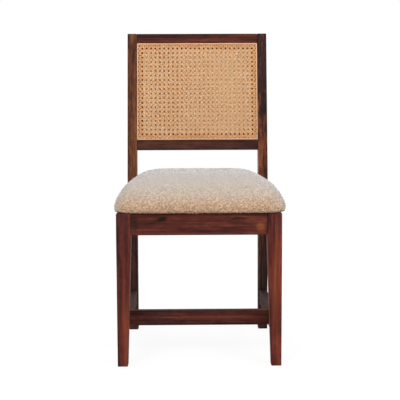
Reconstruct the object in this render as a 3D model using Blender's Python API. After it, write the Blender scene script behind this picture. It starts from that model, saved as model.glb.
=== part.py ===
"""Dining chair: a stained wood frame, a cane panel in the back and an upholstered seat pad.

Metres, +Z up. The chair stands on Z = 0, faces -Y, and its origin lies on the floor under the
middle of its box. Left and right are as seen from the front. Depths are measured back from the
front faces of the front legs, and the empty named chair carries them to the origin.
"""

import math
from collections import namedtuple

import bmesh
import bpy
from mathutils import Vector

# Overall sizes.
WIDTH = 0.450                # over the outer faces of the legs
HEIGHT = 0.958               # floor to the top of the back
LEG_SPACING = 0.410          # front faces of the front legs to front faces of the back legs
SEAT_FRAME_TOP = 0.423       # floor to the tops of the aprons, where the seat pad rests

# What separates and finishes pieces.
GAP = 0.0003                 # between two pieces that touch
OVERRUN = 0.004              # how far a cutter or a joining piece runs past a face
EDGE_RADIUS = 0.0025         # rounding of the wood's long edges
EDGE_STEPS = 3
MERGE_DISTANCE = 0.00002     # points closer than this are one point
SHARP_ANGLE = math.radians(35)   # edges turning further than this are shaded sharp

# Front legs: square, with a taper on the two inner faces below the aprons.
FRONT_LEG = 0.040
FRONT_FOOT = 0.028

# Back legs: straight up to the seat, then leaning back as the posts of the back.
BACK_LEG_WIDTH = 0.030
BACK_LEG_DEPTH = 0.036
BACK_FOOT_DEPTH = 0.030
POST_TOP_DEPTH = 0.024
BACK_RAKE = 0.073            # how far the top of a post lies behind the seat
BEND_HEIGHT = 0.450
BEND_REACH = 0.045           # how far the bend's curve runs above and below its middle
BEND_STEPS = 6

# Aprons and stretchers.
RAIL_THICKNESS = 0.024
RAIL_REVEAL = 0.003          # how far a rail's face lies in from the leg's face
APRON_HEIGHT = 0.060
STRETCHER_HEIGHT = 0.043
STRETCHER_TOP = 0.131
CROSS_SETBACK = 0.110        # front face of the cross stretcher behind the front legs' front
TENON_THICKNESS = 0.010
TENON_LENGTH = 0.018
SHORT_TENON_LENGTH = 0.012   # where a second tenon or a thin rail leaves less wood
TENON_SHOULDER = 0.008       # above and below a tenon

# Rails and cane panel of the back, in the plane of the leaning posts.
TOP_RAIL_HEIGHT = 0.031
LOWER_RAIL_HEIGHT = 0.032
LOWER_RAIL_CLEARANCE = 0.050 # crown of the seat pad to the lower rail
BACK_RAIL_THICKNESS = 0.020
BACK_RAIL_REVEAL = 0.002
BACK_TENON_THICKNESS = 0.008
BACK_TENON_LENGTH = 0.016
BACK_TENON_SHOULDER = 0.006
PANEL_REVEAL = 0.003         # outer face of the front cane behind the posts' front faces
BATTEN_WIDTH = 0.022
BATTEN_THICKNESS = 0.014
REBATE_WIDTH = 0.006
REBATE_DEPTH = 0.0045
CANE_THICKNESS = 0.0012
SPLINE_CROWN = 0.0006        # how far a spline's rounded face stands proud of the cane
NET_COLUMNS = 13             # every second hole of the real cane, across
NET_ROWS = 10                # and up
NET_GAP_SHARE = 0.5          # of the pitch that a gap takes

# Seat pad.
PAD_OVERHANG = 0.0125        # past the legs at the sides and the front
PAD_TAIL = 0.034             # behind the front faces of the back legs
PAD_HEIGHT = 0.111           # seat frame to the top of the crown
PAD_WIDEST = 0.013           # seat frame to the widest part
PAD_CORNER = 0.050           # where the plan starts to turn at a corner
PAD_PLAN_POWER = 8.7         # exponent of the rounded rectangle
PAD_CROWN_POWER = 4.7        # exponents of the crown's section, across
PAD_RISE_POWER = 1.6         # and upwards
PAD_CROWN_STEPS = 9
PAD_OUTLINE_STEPS = (4, 4, 4, 1, 1, 4)
NOTCH_CLEARANCE = 0.003      # between the pad and a back leg
COVER_THICKNESS = 0.0030     # looped cloth
COVER_EASE = 0.0010          # between the cover and the foam
FOAM_EDGE_INSET = 0.004      # foam's lower edge inside its widest part
BOARD_THICKNESS = 0.012
BOARD_INSET = 0.0125         # board's edge inside the pad's widest part
HEM_WIDTH = 0.025            # cover turned in under the board
DUST_COVER_THICKNESS = 0.0008

# Corner blocks and screws.
BLOCK_ARM = 0.065            # along each apron
BLOCK_END = 0.012            # thickness of a block at its ends
BLOCK_HEIGHT = 0.030
BLOCK_DROP = 0.003           # block's top under the aprons' tops
BLOCK_SCREW_SPREAD = 0.056   # between the two screws of a block
BLOCK_SCREW_LENGTH = 0.040
SEAT_SCREW_SETBACK = 0.028   # seat screw in from the two aprons
SEAT_SCREW_BITE = 0.009      # into the seat board
SCREW_RADIUS = 0.0020
SCREW_TIP_RADIUS = 0.0004
SCREW_TIP_LENGTH = 0.005
SCREW_HEAD_RADIUS = 0.0042
SCREW_HEAD_TOP_RADIUS = 0.0024
SCREW_HEAD_HEIGHT = 0.0026
SCREW_SIDES = 12

# Sizes that follow.
HALF_WIDTH = WIDTH / 2
APRON_BOTTOM = SEAT_FRAME_TOP - APRON_HEIGHT
STRETCHER_BOTTOM = STRETCHER_TOP - STRETCHER_HEIGHT
SIDE_RAIL_OUT = HALF_WIDTH - RAIL_REVEAL
SIDE_RAIL_IN = SIDE_RAIL_OUT - RAIL_THICKNESS
FRONT_APRON_BACK = RAIL_REVEAL + RAIL_THICKNESS
BACK_APRON_FRONT = LEG_SPACING + (BACK_LEG_DEPTH - RAIL_THICKNESS) / 2
BACK_APRON_BACK = BACK_APRON_FRONT + RAIL_THICKNESS
RAKE_SLOPE = BACK_RAKE / (HEIGHT - BEND_HEIGHT)
RAKE_ANGLE = math.atan(RAKE_SLOPE)
POST_LENGTH = (HEIGHT - BEND_HEIGHT) / math.cos(RAKE_ANGLE)
POST_INNER = HALF_WIDTH - BACK_LEG_WIDTH
PANEL_TOP = POST_LENGTH - TOP_RAIL_HEIGHT
LOWER_RAIL_START = SEAT_FRAME_TOP + PAD_HEIGHT + LOWER_RAIL_CLEARANCE - BEND_HEIGHT
PANEL_BOTTOM = LOWER_RAIL_START / math.cos(RAKE_ANGLE) + LOWER_RAIL_HEIGHT
PANEL_HEIGHT = PANEL_TOP - PANEL_BOTTOM
PANEL_MIDDLE = (PANEL_TOP + PANEL_BOTTOM) / 2
BATTEN_FRONT = PANEL_REVEAL + CANE_THICKNESS + GAP
BATTEN_BACK = BATTEN_FRONT + BATTEN_THICKNESS
PAD_HALF_WIDTH = HALF_WIDTH + PAD_OVERHANG
PAD_HALF_DEPTH = (PAD_OVERHANG + LEG_SPACING + PAD_TAIL) / 2
PAD_MIDDLE = PAD_HALF_DEPTH - PAD_OVERHANG
PAD_BOTTOM = SEAT_FRAME_TOP + GAP
BOARD_BOTTOM = PAD_BOTTOM + COVER_THICKNESS + GAP
BOARD_TOP = BOARD_BOTTOM + BOARD_THICKNESS
HEM_INSET = BOARD_INSET + HEM_WIDTH
BLOCK_TOP = SEAT_FRAME_TOP - BLOCK_DROP
BLOCK_BOTTOM = BLOCK_TOP - BLOCK_HEIGHT
BACK_MOST = LEG_SPACING + BACK_RAKE + POST_TOP_DEPTH * math.cos(RAKE_ANGLE)
CHAIR_MIDDLE = (BACK_MOST - PAD_OVERHANG) / 2

SIDES = (("left", -1), ("right", 1))
X, Y, Z = range(3)
Rail = namedtuple("Rail", "low high axis first_tenon last_tenon thickness shoulder")
Finish = namedtuple("Finish", "colour roughness metallic")
Corner = namedtuple("Corner", "name side apron_y leg_x leg_y way_in")

STAINED_WOOD = Finish((0.105, 0.032, 0.022), 0.38, 0.0)
BARE_WOOD = Finish((0.520, 0.340, 0.190), 0.65, 0.0)
CANE = Finish((0.560, 0.310, 0.120), 0.55, 0.0)
REED = Finish((0.680, 0.410, 0.180), 0.50, 0.0)
BOUCLE = Finish((0.640, 0.575, 0.490), 0.95, 0.0)
FOAM = Finish((0.800, 0.720, 0.480), 0.90, 0.0)
PLYWOOD = Finish((0.600, 0.430, 0.260), 0.70, 0.0)
DUST_CLOTH = Finish((0.020, 0.020, 0.022), 0.95, 0.0)
ZINC_STEEL = Finish((0.600, 0.590, 0.560), 0.35, 1.0)


def clear_scene():
    for old in list(bpy.data.objects):
        bpy.data.objects.remove(old, do_unlink=True)


def principled(name, finish):
    material = bpy.data.materials.new(name)
    material.use_nodes = True
    shader = material.node_tree.nodes["Principled BSDF"]
    shader.inputs["Base Color"].default_value = (*finish.colour, 1.0)
    shader.inputs["Roughness"].default_value = finish.roughness
    shader.inputs["Metallic"].default_value = finish.metallic
    return material


def make_empty(name, parent=None):
    empty = bpy.data.objects.new(name, None)
    bpy.context.scene.collection.objects.link(empty)
    empty.parent = parent
    return empty


def link_object(name, mesh, parent):
    piece = bpy.data.objects.new(name, mesh)
    bpy.context.scene.collection.objects.link(piece)
    piece.parent = parent
    return piece


def turn_faces_out(bm):
    bm.normal_update()
    bmesh.ops.recalc_face_normals(bm, faces=bm.faces)


def make_piece(name, bm, finish, parent, smooth=False):
    """Turn a bmesh into a named piece with its own material."""
    turn_faces_out(bm)
    mesh = bpy.data.meshes.new(name)
    bm.to_mesh(mesh)
    bm.free()
    mesh.materials.append(principled(name, finish))
    if smooth:
        mesh.shade_smooth()
        mesh.set_sharp_from_angle(angle=SHARP_ANGLE)
    return link_object(name, mesh, parent)


def make_tool(name, solids, parent):
    """Join some separate bmesh solids into one hidden Boolean tool."""
    mesh = bpy.data.meshes.new(name)
    joined = bmesh.new()
    for bm in solids:
        turn_faces_out(bm)
        bm.to_mesh(mesh)
        joined.from_mesh(mesh)
        bm.free()
    joined.to_mesh(mesh)
    joined.free()
    tool = link_object(name, mesh, parent)
    tool.hide_render = True
    tool.display_type = "WIRE"
    return tool


def apply_tool(piece, tool, operation):
    step = piece.modifiers.new(tool.name, "BOOLEAN")
    step.operation = operation
    step.solver = "EXACT"
    step.object = tool


def loft(rings):
    """A closed solid through rings of points, capped at both ends."""
    bm = bmesh.new()
    loops = [[bm.verts.new(point) for point in ring] for ring in rings]
    for low, high in zip(loops, loops[1:]):
        for here in range(len(low)):
            after = (here + 1) % len(low)
            bm.faces.new((low[here], low[after], high[after], high[here]))
    bm.faces.new(loops[0])
    bm.faces.new(loops[-1])
    return bm


def round_edges(bm, ring_size, with_ends):
    """Round the edges that run from ring to ring, and those of the two ends if asked."""
    bm.verts.index_update()
    last = len(bm.verts) // ring_size - 1
    chosen = []
    for edge in bm.edges:
        first_ring, second_ring = (vert.index // ring_size for vert in edge.verts)
        if first_ring != second_ring or (with_ends and first_ring in (0, last)):
            chosen.append(edge)
    bmesh.ops.bevel(bm, geom=chosen, offset=EDGE_RADIUS, segments=EDGE_STEPS, profile=0.5,
                    affect="EDGES")
    bmesh.ops.remove_doubles(bm, verts=bm.verts, dist=MERGE_DISTANCE)
    bmesh.ops.dissolve_degenerate(bm, edges=bm.edges, dist=MERGE_DISTANCE)


def box(low, high):
    rings = []
    for height in (low[Z], high[Z]):
        rings.append([
            (low[X], low[Y], height),
            (high[X], low[Y], height),
            (high[X], high[Y], height),
            (low[X], high[Y], height),
        ])
    return loft(rings)


def rectangle_ring(outer_x, inner_x, front, back):
    """Four corners of a leg's section; front and back are (depth, height) pairs."""
    return [
        (outer_x, front[0], front[1]),
        (inner_x, front[0], front[1]),
        (inner_x, back[0], back[1]),
        (outer_x, back[0], back[1]),
    ]


def front_leg_size(height):
    """Width and depth of a front leg at a height."""
    if height >= APRON_BOTTOM:
        return FRONT_LEG
    return FRONT_FOOT + (FRONT_LEG - FRONT_FOOT) * height / APRON_BOTTOM


def post_lean(height):
    """How far the front face of a back leg has leant back at a height."""
    from_start = height - (BEND_HEIGHT - BEND_REACH)
    if from_start <= 0:
        return 0.0
    if from_start < 2 * BEND_REACH:
        return RAKE_SLOPE * from_start ** 2 / (4 * BEND_REACH)
    return RAKE_SLOPE * (height - BEND_HEIGHT)


def make_rail_data():
    """Every straight rail as a box with a tenon at each end, by its name without a side."""
    apron_z = (APRON_BOTTOM, SEAT_FRAME_TOP)
    stretcher_z = (STRETCHER_BOTTOM, STRETCHER_TOP)
    front_inner = HALF_WIDTH - FRONT_LEG - GAP
    back_inner = POST_INNER - GAP
    cross_inner = SIDE_RAIL_IN - GAP
    stretcher_front = front_leg_size(STRETCHER_TOP) + GAP
    cross_back = CROSS_SETBACK + RAIL_THICKNESS
    lower_rail_z = (PANEL_BOTTOM - LOWER_RAIL_HEIGHT, PANEL_BOTTOM)
    back_y = (BACK_RAIL_REVEAL, BACK_RAIL_REVEAL + BACK_RAIL_THICKNESS)
    seat_tenon = (TENON_THICKNESS, TENON_SHOULDER)
    back_tenon = (BACK_TENON_THICKNESS, BACK_TENON_SHOULDER)

    def across(half, depths, heights, length, tenon):
        low = (-half, depths[0], heights[0])
        high = (half, depths[1], heights[1])
        return Rail(low, high, X, length, length, *tenon)

    def along(start, heights, first_tenon):
        low = (SIDE_RAIL_IN, start, heights[0])
        high = (SIDE_RAIL_OUT, LEG_SPACING - GAP, heights[1])
        return Rail(low, high, Y, first_tenon, SHORT_TENON_LENGTH, *seat_tenon)

    return {
        "front_apron": across(front_inner, (RAIL_REVEAL, FRONT_APRON_BACK), apron_z,
                              TENON_LENGTH, seat_tenon),
        "back_apron": across(back_inner, (BACK_APRON_FRONT, BACK_APRON_BACK), apron_z,
                             TENON_LENGTH, seat_tenon),
        "side_apron": along(FRONT_LEG + GAP, apron_z, TENON_LENGTH),
        "side_stretcher": along(stretcher_front, stretcher_z, SHORT_TENON_LENGTH),
        "cross_stretcher": across(cross_inner, (CROSS_SETBACK, cross_back), stretcher_z,
                                  SHORT_TENON_LENGTH, seat_tenon),
        "top_rail": across(back_inner, back_y, (PANEL_TOP, POST_LENGTH),
                           BACK_TENON_LENGTH, back_tenon),
        "lower_back_rail": across(back_inner, back_y, lower_rail_z,
                                  BACK_TENON_LENGTH, back_tenon),
    }


def mirrored(bm, side):
    """Mirror a solid made for the right side when it is wanted on the left."""
    if side < 0:
        for vert in bm.verts:
            vert.co.x = -vert.co.x
    return bm


def tenon_solid(rail, at_end, clearance=0.0):
    """The tenon at one end of a rail, or with a clearance the mortise that takes it."""
    run = rail.axis
    thick = Y if run == X else X
    low = list(rail.low)
    high = list(rail.high)
    middle = (rail.low[thick] + rail.high[thick]) / 2
    low[thick] = middle - rail.thickness / 2 - clearance
    high[thick] = middle + rail.thickness / 2 + clearance
    low[Z] = rail.low[Z] + rail.shoulder - clearance
    high[Z] = rail.high[Z] - rail.shoulder + clearance
    if at_end:
        low[run] = rail.high[run] - OVERRUN
        high[run] = rail.high[run] + rail.last_tenon + clearance
    else:
        low[run] = rail.low[run] - rail.first_tenon - clearance
        high[run] = rail.low[run] + OVERRUN
    return box(low, high)


def make_rail(name, rail, parent, side=1, shape_end=None):
    """A rail with rounded long edges and its two tenons."""
    start = [Vector(rail.low) for _ in range(4)]
    thick = Y if rail.axis == X else X
    for corner, (use_thick, use_height) in zip(start, ((0, 0), (1, 0), (1, 1), (0, 1))):
        corner[thick] = rail.high[thick] if use_thick else rail.low[thick]
        corner.z = rail.high[Z] if use_height else rail.low[Z]
    end = [corner.copy() for corner in start]
    for corner in end:
        corner[rail.axis] = rail.high[rail.axis]
    if shape_end:
        for corner in start:
            corner[rail.axis] = shape_end(corner.z)
    bm = loft((start, end))
    round_edges(bm, len(start), with_ends=False)
    piece = make_piece(name, mirrored(bm, side), STAINED_WOOD, parent, smooth=True)
    solids = [mirrored(tenon_solid(rail, at_end), side) for at_end in (False, True)]
    apply_tool(piece, make_tool(name + "_tenons", solids, parent), "UNION")
    return piece


def cut_mortises(piece, places, parent, side):
    """Cut mortises for (rail, at_end) pairs given for the right side of the chair."""
    solids = [mirrored(tenon_solid(rail, at_end, GAP), side) for rail, at_end in places]
    apply_tool(piece, make_tool(piece.name + "_mortises", solids, parent), "DIFFERENCE")


def make_front_leg(name, side, rails, chair):
    rings = []
    for height in (0.0, APRON_BOTTOM, SEAT_FRAME_TOP):
        size = front_leg_size(height)
        inner = HALF_WIDTH - size
        rings.append(rectangle_ring(HALF_WIDTH, inner, (0.0, height), (size, height)))
    bm = loft(rings)
    round_edges(bm, len(rings[0]), with_ends=True)
    leg = make_piece(name, mirrored(bm, side), STAINED_WOOD, chair, smooth=True)
    places = (
        (rails["front_apron"], True),
        (rails["side_apron"], False),
        (rails["side_stretcher"], False),
    )
    cut_mortises(leg, places, chair, side)
    return leg


def back_leg_rings():
    """Sections of a back leg from the floor to the top of its post."""
    bend_start = BEND_HEIGHT - BEND_REACH
    bend_end = BEND_HEIGHT + BEND_REACH
    sections = [(0.0, BACK_FOOT_DEPTH), (APRON_BOTTOM, BACK_LEG_DEPTH)]
    for step in range(BEND_STEPS + 1):
        height = bend_start + (bend_end - bend_start) * step / BEND_STEPS
        sections.append((height, BACK_LEG_DEPTH))
    rings = []
    for height, depth in sections:
        front = (LEG_SPACING + post_lean(height), height)
        back = (front[0] + depth, height)
        rings.append(rectangle_ring(HALF_WIDTH, POST_INNER, front, back))
    top_front = (LEG_SPACING + BACK_RAKE, HEIGHT)
    top_back = (BACK_MOST, HEIGHT - POST_TOP_DEPTH * math.sin(RAKE_ANGLE))
    rings.append(rectangle_ring(HALF_WIDTH, POST_INNER, top_front, top_back))
    return rings


def make_back_leg(name, side, rails, chair, back):
    rings = back_leg_rings()
    bm = loft(rings)
    round_edges(bm, len(rings[0]), with_ends=True)
    leg = make_piece(name, mirrored(bm, side), STAINED_WOOD, chair, smooth=True)
    seat_places = (
        (rails["back_apron"], True),
        (rails["side_apron"], True),
        (rails["side_stretcher"], True),
    )
    cut_mortises(leg, seat_places, chair, side)
    back_places = ((rails["top_rail"], True), (rails["lower_back_rail"], True))
    cut_mortises(leg, back_places, back, side)
    return leg


def make_frame(chair, back):
    """Legs, aprons, stretchers and the two rails of the back; returns the aprons by name."""
    rails = make_rail_data()
    aprons = {}
    for label, side in SIDES:
        make_front_leg("front_leg_" + label, side, rails, chair)
        make_back_leg("back_leg_" + label, side, rails, chair, back)
        name = "side_apron_" + label
        aprons[name] = make_rail(name, rails["side_apron"], chair, side)
        stretcher = make_rail("side_stretcher_" + label, rails["side_stretcher"], chair, side,
                              lambda height: front_leg_size(height) + GAP)
        cut_mortises(stretcher, ((rails["cross_stretcher"], True),), chair, side)
    for name in ("front_apron", "back_apron"):
        aprons[name] = make_rail(name, rails[name], chair)
    make_rail("cross_stretcher", rails["cross_stretcher"], chair)
    for name in ("top_rail", "lower_back_rail"):
        make_rail(name, rails[name], back)
    return aprons


def mitred_bar(section, edge):
    """One side of a mitred frame in the panel opening; section points are (inset, depth)."""
    half_height = PANEL_HEIGHT / 2
    rings = []
    for end in (-1, 1):
        ring = []
        for inset, depth in section:
            wide = POST_INNER - inset
            tall = half_height - inset
            if edge in ("top", "bottom"):
                place_x = end * (wide - GAP)
                place_z = tall if edge == "top" else -tall
            else:
                place_x = wide if edge == "right" else -wide
                place_z = end * (tall - GAP)
            ring.append((place_x, depth, PANEL_MIDDLE + place_z))
        rings.append(ring)
    return loft(rings)


def batten_section():
    """Section of a batten: a bar with a rebate at its outer edge on both faces."""
    return [
        (GAP, BATTEN_FRONT + REBATE_DEPTH),
        (REBATE_WIDTH, BATTEN_FRONT + REBATE_DEPTH),
        (REBATE_WIDTH, BATTEN_FRONT),
        (BATTEN_WIDTH, BATTEN_FRONT),
        (BATTEN_WIDTH, BATTEN_BACK),
        (REBATE_WIDTH, BATTEN_BACK),
        (REBATE_WIDTH, BATTEN_BACK - REBATE_DEPTH),
        (GAP, BATTEN_BACK - REBATE_DEPTH),
    ]


def spline_section():
    """Section of a reed spline that wedges the front cane into its rebate."""
    inner = REBATE_WIDTH - CANE_THICKNESS - 2 * GAP
    floor = BATTEN_FRONT + REBATE_DEPTH - GAP
    shoulder = PANEL_REVEAL
    return [
        (GAP, floor),
        (inner, floor),
        (inner, shoulder),
        ((GAP + inner) / 2, shoulder - SPLINE_CROWN),
        (GAP, shoulder),
    ]


def face_about(points, to_back):
    """Turn (inset, depth) points made for the front face to the panel's back face."""
    if not to_back:
        return points
    return [(inset, BATTEN_FRONT + BATTEN_BACK - depth) for inset, depth in points]


def net_lines(half_size, count):
    """Grid lines across a net: its edge, the inner side of its lip, and each gap's two sides."""
    lip_outer = half_size - (REBATE_WIDTH - GAP - CANE_THICKNESS)
    lip_inner = half_size - (REBATE_WIDTH - GAP)
    pitch = 2 * lip_inner / count
    lines = [-lip_outer, -lip_inner]
    for index in range(count):
        middle = -lip_inner + (index + 0.5) * pitch
        lines.append(middle - pitch * NET_GAP_SHARE / 2)
        lines.append(middle + pitch * NET_GAP_SHARE / 2)
    return lines + [lip_inner, lip_outer]


def rim_faces(bm, columns, rows):
    """Inner faces of a cane sheet that lie over the rebate, outside the last inner grid lines."""
    inner_depth = PANEL_REVEAL + CANE_THICKNESS
    found = []
    for face in bm.faces:
        centre = face.calc_center_median()
        over_side = abs(centre.x) > columns[-2]
        over_end = abs(centre.z - PANEL_MIDDLE) > rows[-2]
        is_inner = abs(centre.y - inner_depth) < MERGE_DISTANCE
        if is_inner and (over_side or over_end):
            found.append(face)
    return found


def push_back(grown, distance):
    for item in grown["geom"]:
        if isinstance(item, bmesh.types.BMVert):
            item.co.y += distance


def make_cane_panel(name, to_back, back):
    """A sheet of cane with its edge turned into the rebate; a gap stands for every second hole."""
    columns = net_lines(POST_INNER, NET_COLUMNS)
    rows = net_lines(PANEL_HEIGHT / 2, NET_ROWS)
    bm = bmesh.new()
    grid = [[bm.verts.new((x, PANEL_REVEAL, PANEL_MIDDLE + z)) for x in columns] for z in rows]
    for row in range(len(rows) - 1):
        for column in range(len(columns) - 1):
            in_field = 0 < row < len(rows) - 2 and 0 < column < len(columns) - 2
            if in_field and row % 2 == 0 and column % 2 == 0:
                continue
            low = grid[row]
            high = grid[row + 1]
            bm.faces.new((low[column], low[column + 1], high[column + 1], high[column]))
    push_back(bmesh.ops.extrude_face_region(bm, geom=list(bm.faces)), CANE_THICKNESS)
    bm.normal_update()
    rim = rim_faces(bm, columns, rows)
    push_back(bmesh.ops.extrude_face_region(bm, geom=rim, use_keep_orig=True), REBATE_DEPTH)
    bmesh.ops.delete(bm, geom=rim, context="FACES")
    if to_back:
        for vert in bm.verts:
            vert.co.y = BATTEN_FRONT + BATTEN_BACK - vert.co.y
    return make_piece(name, bm, CANE, back)


def make_panel(back):
    """The batten frame in the back's opening, a cane sheet on each face and the splines."""
    for edge in ("top", "bottom", "left", "right"):
        bar = mitred_bar(batten_section(), edge)
        make_piece("panel_batten_" + edge, bar, STAINED_WOOD, back)
    for face, to_back in (("front", False), ("back", True)):
        make_cane_panel("cane_" + face, to_back, back)
        for edge in ("top", "bottom", "left", "right"):
            spline = mitred_bar(face_about(spline_section(), to_back), edge)
            make_piece("cane_spline_" + face + "_" + edge, spline, REED, back)


def plan_radius(angle, half_width, half_depth):
    """Distance from the middle of a rounded rectangle to its edge."""
    across = abs(math.cos(angle) / half_width) ** PAD_PLAN_POWER
    along = abs(math.sin(angle) / half_depth) ** PAD_PLAN_POWER
    return (across + along) ** (-1 / PAD_PLAN_POWER)


def pad_angles(notch_x, notch_y):
    """Directions of the outline's points, from the front's middle round the right side and back."""
    keys = (
        -math.pi / 2,
        math.atan2(-PAD_HALF_DEPTH, PAD_HALF_WIDTH - PAD_CORNER),
        math.atan2(-(PAD_HALF_DEPTH - PAD_CORNER), PAD_HALF_WIDTH),
        math.atan2(notch_y, PAD_HALF_WIDTH),
        math.atan2(notch_y, notch_x),
        math.atan2(PAD_HALF_DEPTH, notch_x),
        math.pi / 2,
    )
    right = []
    for first, last, steps in zip(keys, keys[1:], PAD_OUTLINE_STEPS):
        right += [first + (last - first) * step / steps for step in range(steps)]
    left = [math.pi - angle for angle in reversed(right[1:])]
    return right + [math.pi / 2] + left


def pad_ring(half_width, half_depth, height, inset):
    """One level of the seat pad's outline, notched round the back legs.

    inset is how far this layer's face lies inside the cover's outer face at the notch.
    """
    notch_x = POST_INNER - NOTCH_CLEARANCE - inset
    notch_y = LEG_SPACING - NOTCH_CLEARANCE - inset - PAD_MIDDLE
    ring = []
    for angle in pad_angles(notch_x, notch_y):
        radius = plan_radius(angle, half_width, half_depth)
        into_notch = min(abs(math.cos(angle)) / notch_x, math.sin(angle) / notch_y)
        if into_notch * radius > 1:
            radius = 1 / into_notch
        place = (radius * math.cos(angle), PAD_MIDDLE + radius * math.sin(angle), height)
        ring.append(place)
    return ring


def crown_rings(inset):
    """Levels of a pad layer from its widest part up to the last ring of the crown."""
    widest = SEAT_FRAME_TOP + PAD_WIDEST
    rise = PAD_HEIGHT - PAD_WIDEST - inset
    rings = []
    for step in range(PAD_CROWN_STEPS):
        turn = math.pi / 2 * step / PAD_CROWN_STEPS
        share = math.cos(turn) ** (2 / PAD_CROWN_POWER)
        lift = math.sin(turn) ** (2 / PAD_RISE_POWER)
        half_width = (PAD_HALF_WIDTH - inset) * share
        half_depth = (PAD_HALF_DEPTH - inset) * share
        rings.append(pad_ring(half_width, half_depth, widest + rise * lift, inset))
    return rings


def crown_top(inset):
    return (0.0, PAD_MIDDLE, SEAT_FRAME_TOP + PAD_HEIGHT - inset)


def inset_ring(plan_inset, height, layer_inset):
    return pad_ring(PAD_HALF_WIDTH - plan_inset, PAD_HALF_DEPTH - plan_inset, height, layer_inset)


def fan(bm, loop, tip):
    """Close the crown with triangles to its top point."""
    top = bm.verts.new(tip)
    for here in range(len(loop)):
        bm.faces.new((loop[here], loop[(here + 1) % len(loop)], top))


def skin(bm, rings):
    """Vertices of the rings, with faces between each ring and the next; returns both end loops."""
    loops = [[bm.verts.new(point) for point in ring] for ring in rings]
    for low, high in zip(loops, loops[1:]):
        for here in range(len(low)):
            after = (here + 1) % len(low)
            bm.faces.new((low[here], low[after], high[after], high[here]))
    return loops[0], loops[-1]


def make_foam(chair):
    """Foam block of the seat with its crown, resting on the board."""
    inset = COVER_THICKNESS + COVER_EASE
    floor = BOARD_TOP + GAP
    lower_edge = inset_ring(inset + FOAM_EDGE_INSET, floor, inset)
    above = [ring for ring in crown_rings(inset) if ring[0][Z] > floor]
    bm = bmesh.new()
    bottom, top = skin(bm, [lower_edge] + above)
    bm.faces.new(bottom)
    fan(bm, top, crown_top(inset))
    return make_piece("seat_foam", bm, FOAM, chair, smooth=True)


def make_cover(chair):
    """Cloth over the foam and round the board's edge, with its hem turned in under the board."""
    outer_levels = [
        inset_ring(HEM_INSET, PAD_BOTTOM, 0.0),
        inset_ring(BOARD_INSET - COVER_THICKNESS - GAP, PAD_BOTTOM, 0.0),
    ]
    inner_levels = [
        inset_ring(HEM_INSET, PAD_BOTTOM + COVER_THICKNESS, COVER_THICKNESS),
        inset_ring(BOARD_INSET - GAP, PAD_BOTTOM + COVER_THICKNESS, COVER_THICKNESS),
    ]
    bm = bmesh.new()
    outer_start, outer_top = skin(bm, outer_levels + crown_rings(0.0))
    inner_start, inner_top = skin(bm, inner_levels + crown_rings(COVER_THICKNESS))
    fan(bm, outer_top, crown_top(0.0))
    fan(bm, inner_top, crown_top(COVER_THICKNESS))
    for here in range(len(outer_start)):
        after = (here + 1) % len(outer_start)
        bm.faces.new((outer_start[here], outer_start[after], inner_start[after], inner_start[here]))
    return make_piece("seat_cover", bm, BOUCLE, chair, smooth=True)


def make_flat_sheet(name, plan_inset, layer_inset, bottom, thickness, finish, chair):
    """A flat piece with the pad's outline, such as the board or the dust cover."""
    rings = [inset_ring(plan_inset, height, layer_inset) for height in (bottom, bottom + thickness)]
    return make_piece(name, loft(rings), finish, chair)


def seat_corners():
    """Corners of the seat frame: inner face of the end apron, inner corner of the leg, way in."""
    front_leg_inner = HALF_WIDTH - FRONT_LEG
    corners = []
    for label, side in SIDES:
        corners.append(Corner("front_" + label, side, FRONT_APRON_BACK, front_leg_inner, FRONT_LEG, 1))
        corners.append(Corner("back_" + label, side, BACK_APRON_FRONT, POST_INNER, LEG_SPACING, -1))
    return corners


def corner_point(corner, across, along, height):
    """A point measured in from the inner faces of a corner's side apron and end apron."""
    return (corner.side * (SIDE_RAIL_IN - across), corner.apron_y + corner.way_in * along, height)


def block_outline(leg_across, leg_along):
    """A corner block's plan, from its two apron faces inwards, with a notch for the leg."""
    return [
        (leg_across + GAP, GAP),
        (BLOCK_ARM, GAP),
        (BLOCK_ARM, BLOCK_END),
        (BLOCK_END, BLOCK_ARM),
        (GAP, BLOCK_ARM),
        (GAP, leg_along + GAP),
        (leg_across + GAP, leg_along + GAP),
    ]


def circle_ring(radius, height):
    turns = [2 * math.pi * index / SCREW_SIDES for index in range(SCREW_SIDES)]
    return [(radius * math.cos(turn), radius * math.sin(turn), height) for turn in turns]


def make_screw_mesh(name, length):
    """A screw along +Z: its head's underside at zero, its tip at the length."""
    bm = loft([
        circle_ring(SCREW_HEAD_TOP_RADIUS, -GAP - SCREW_HEAD_HEIGHT),
        circle_ring(SCREW_HEAD_RADIUS, -GAP - SCREW_HEAD_HEIGHT / 2),
        circle_ring(SCREW_HEAD_RADIUS, -GAP),
        circle_ring(SCREW_RADIUS, -GAP),
        circle_ring(SCREW_RADIUS, length - SCREW_TIP_LENGTH),
        circle_ring(SCREW_TIP_RADIUS, length),
    ])
    turn_faces_out(bm)
    mesh = bpy.data.meshes.new(name)
    bm.to_mesh(mesh)
    bm.free()
    mesh.materials.append(principled(name, ZINC_STEEL))
    mesh.shade_smooth()
    mesh.set_sharp_from_angle(angle=SHARP_ANGLE)
    return mesh


def aim(piece, place, direction):
    piece.location = place
    piece.rotation_mode = "QUATERNION"
    piece.rotation_quaternion = Vector(direction).to_track_quat("Z", "Y")


def make_hole_tool(name, place, direction, length, chair):
    """A hidden round bar that cuts a screw's hole."""
    bm = loft([circle_ring(SCREW_RADIUS + GAP, -OVERRUN), circle_ring(SCREW_RADIUS + GAP, length)])
    tool = make_tool(name, [bm], chair)
    aim(tool, place, direction)
    return tool


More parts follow.
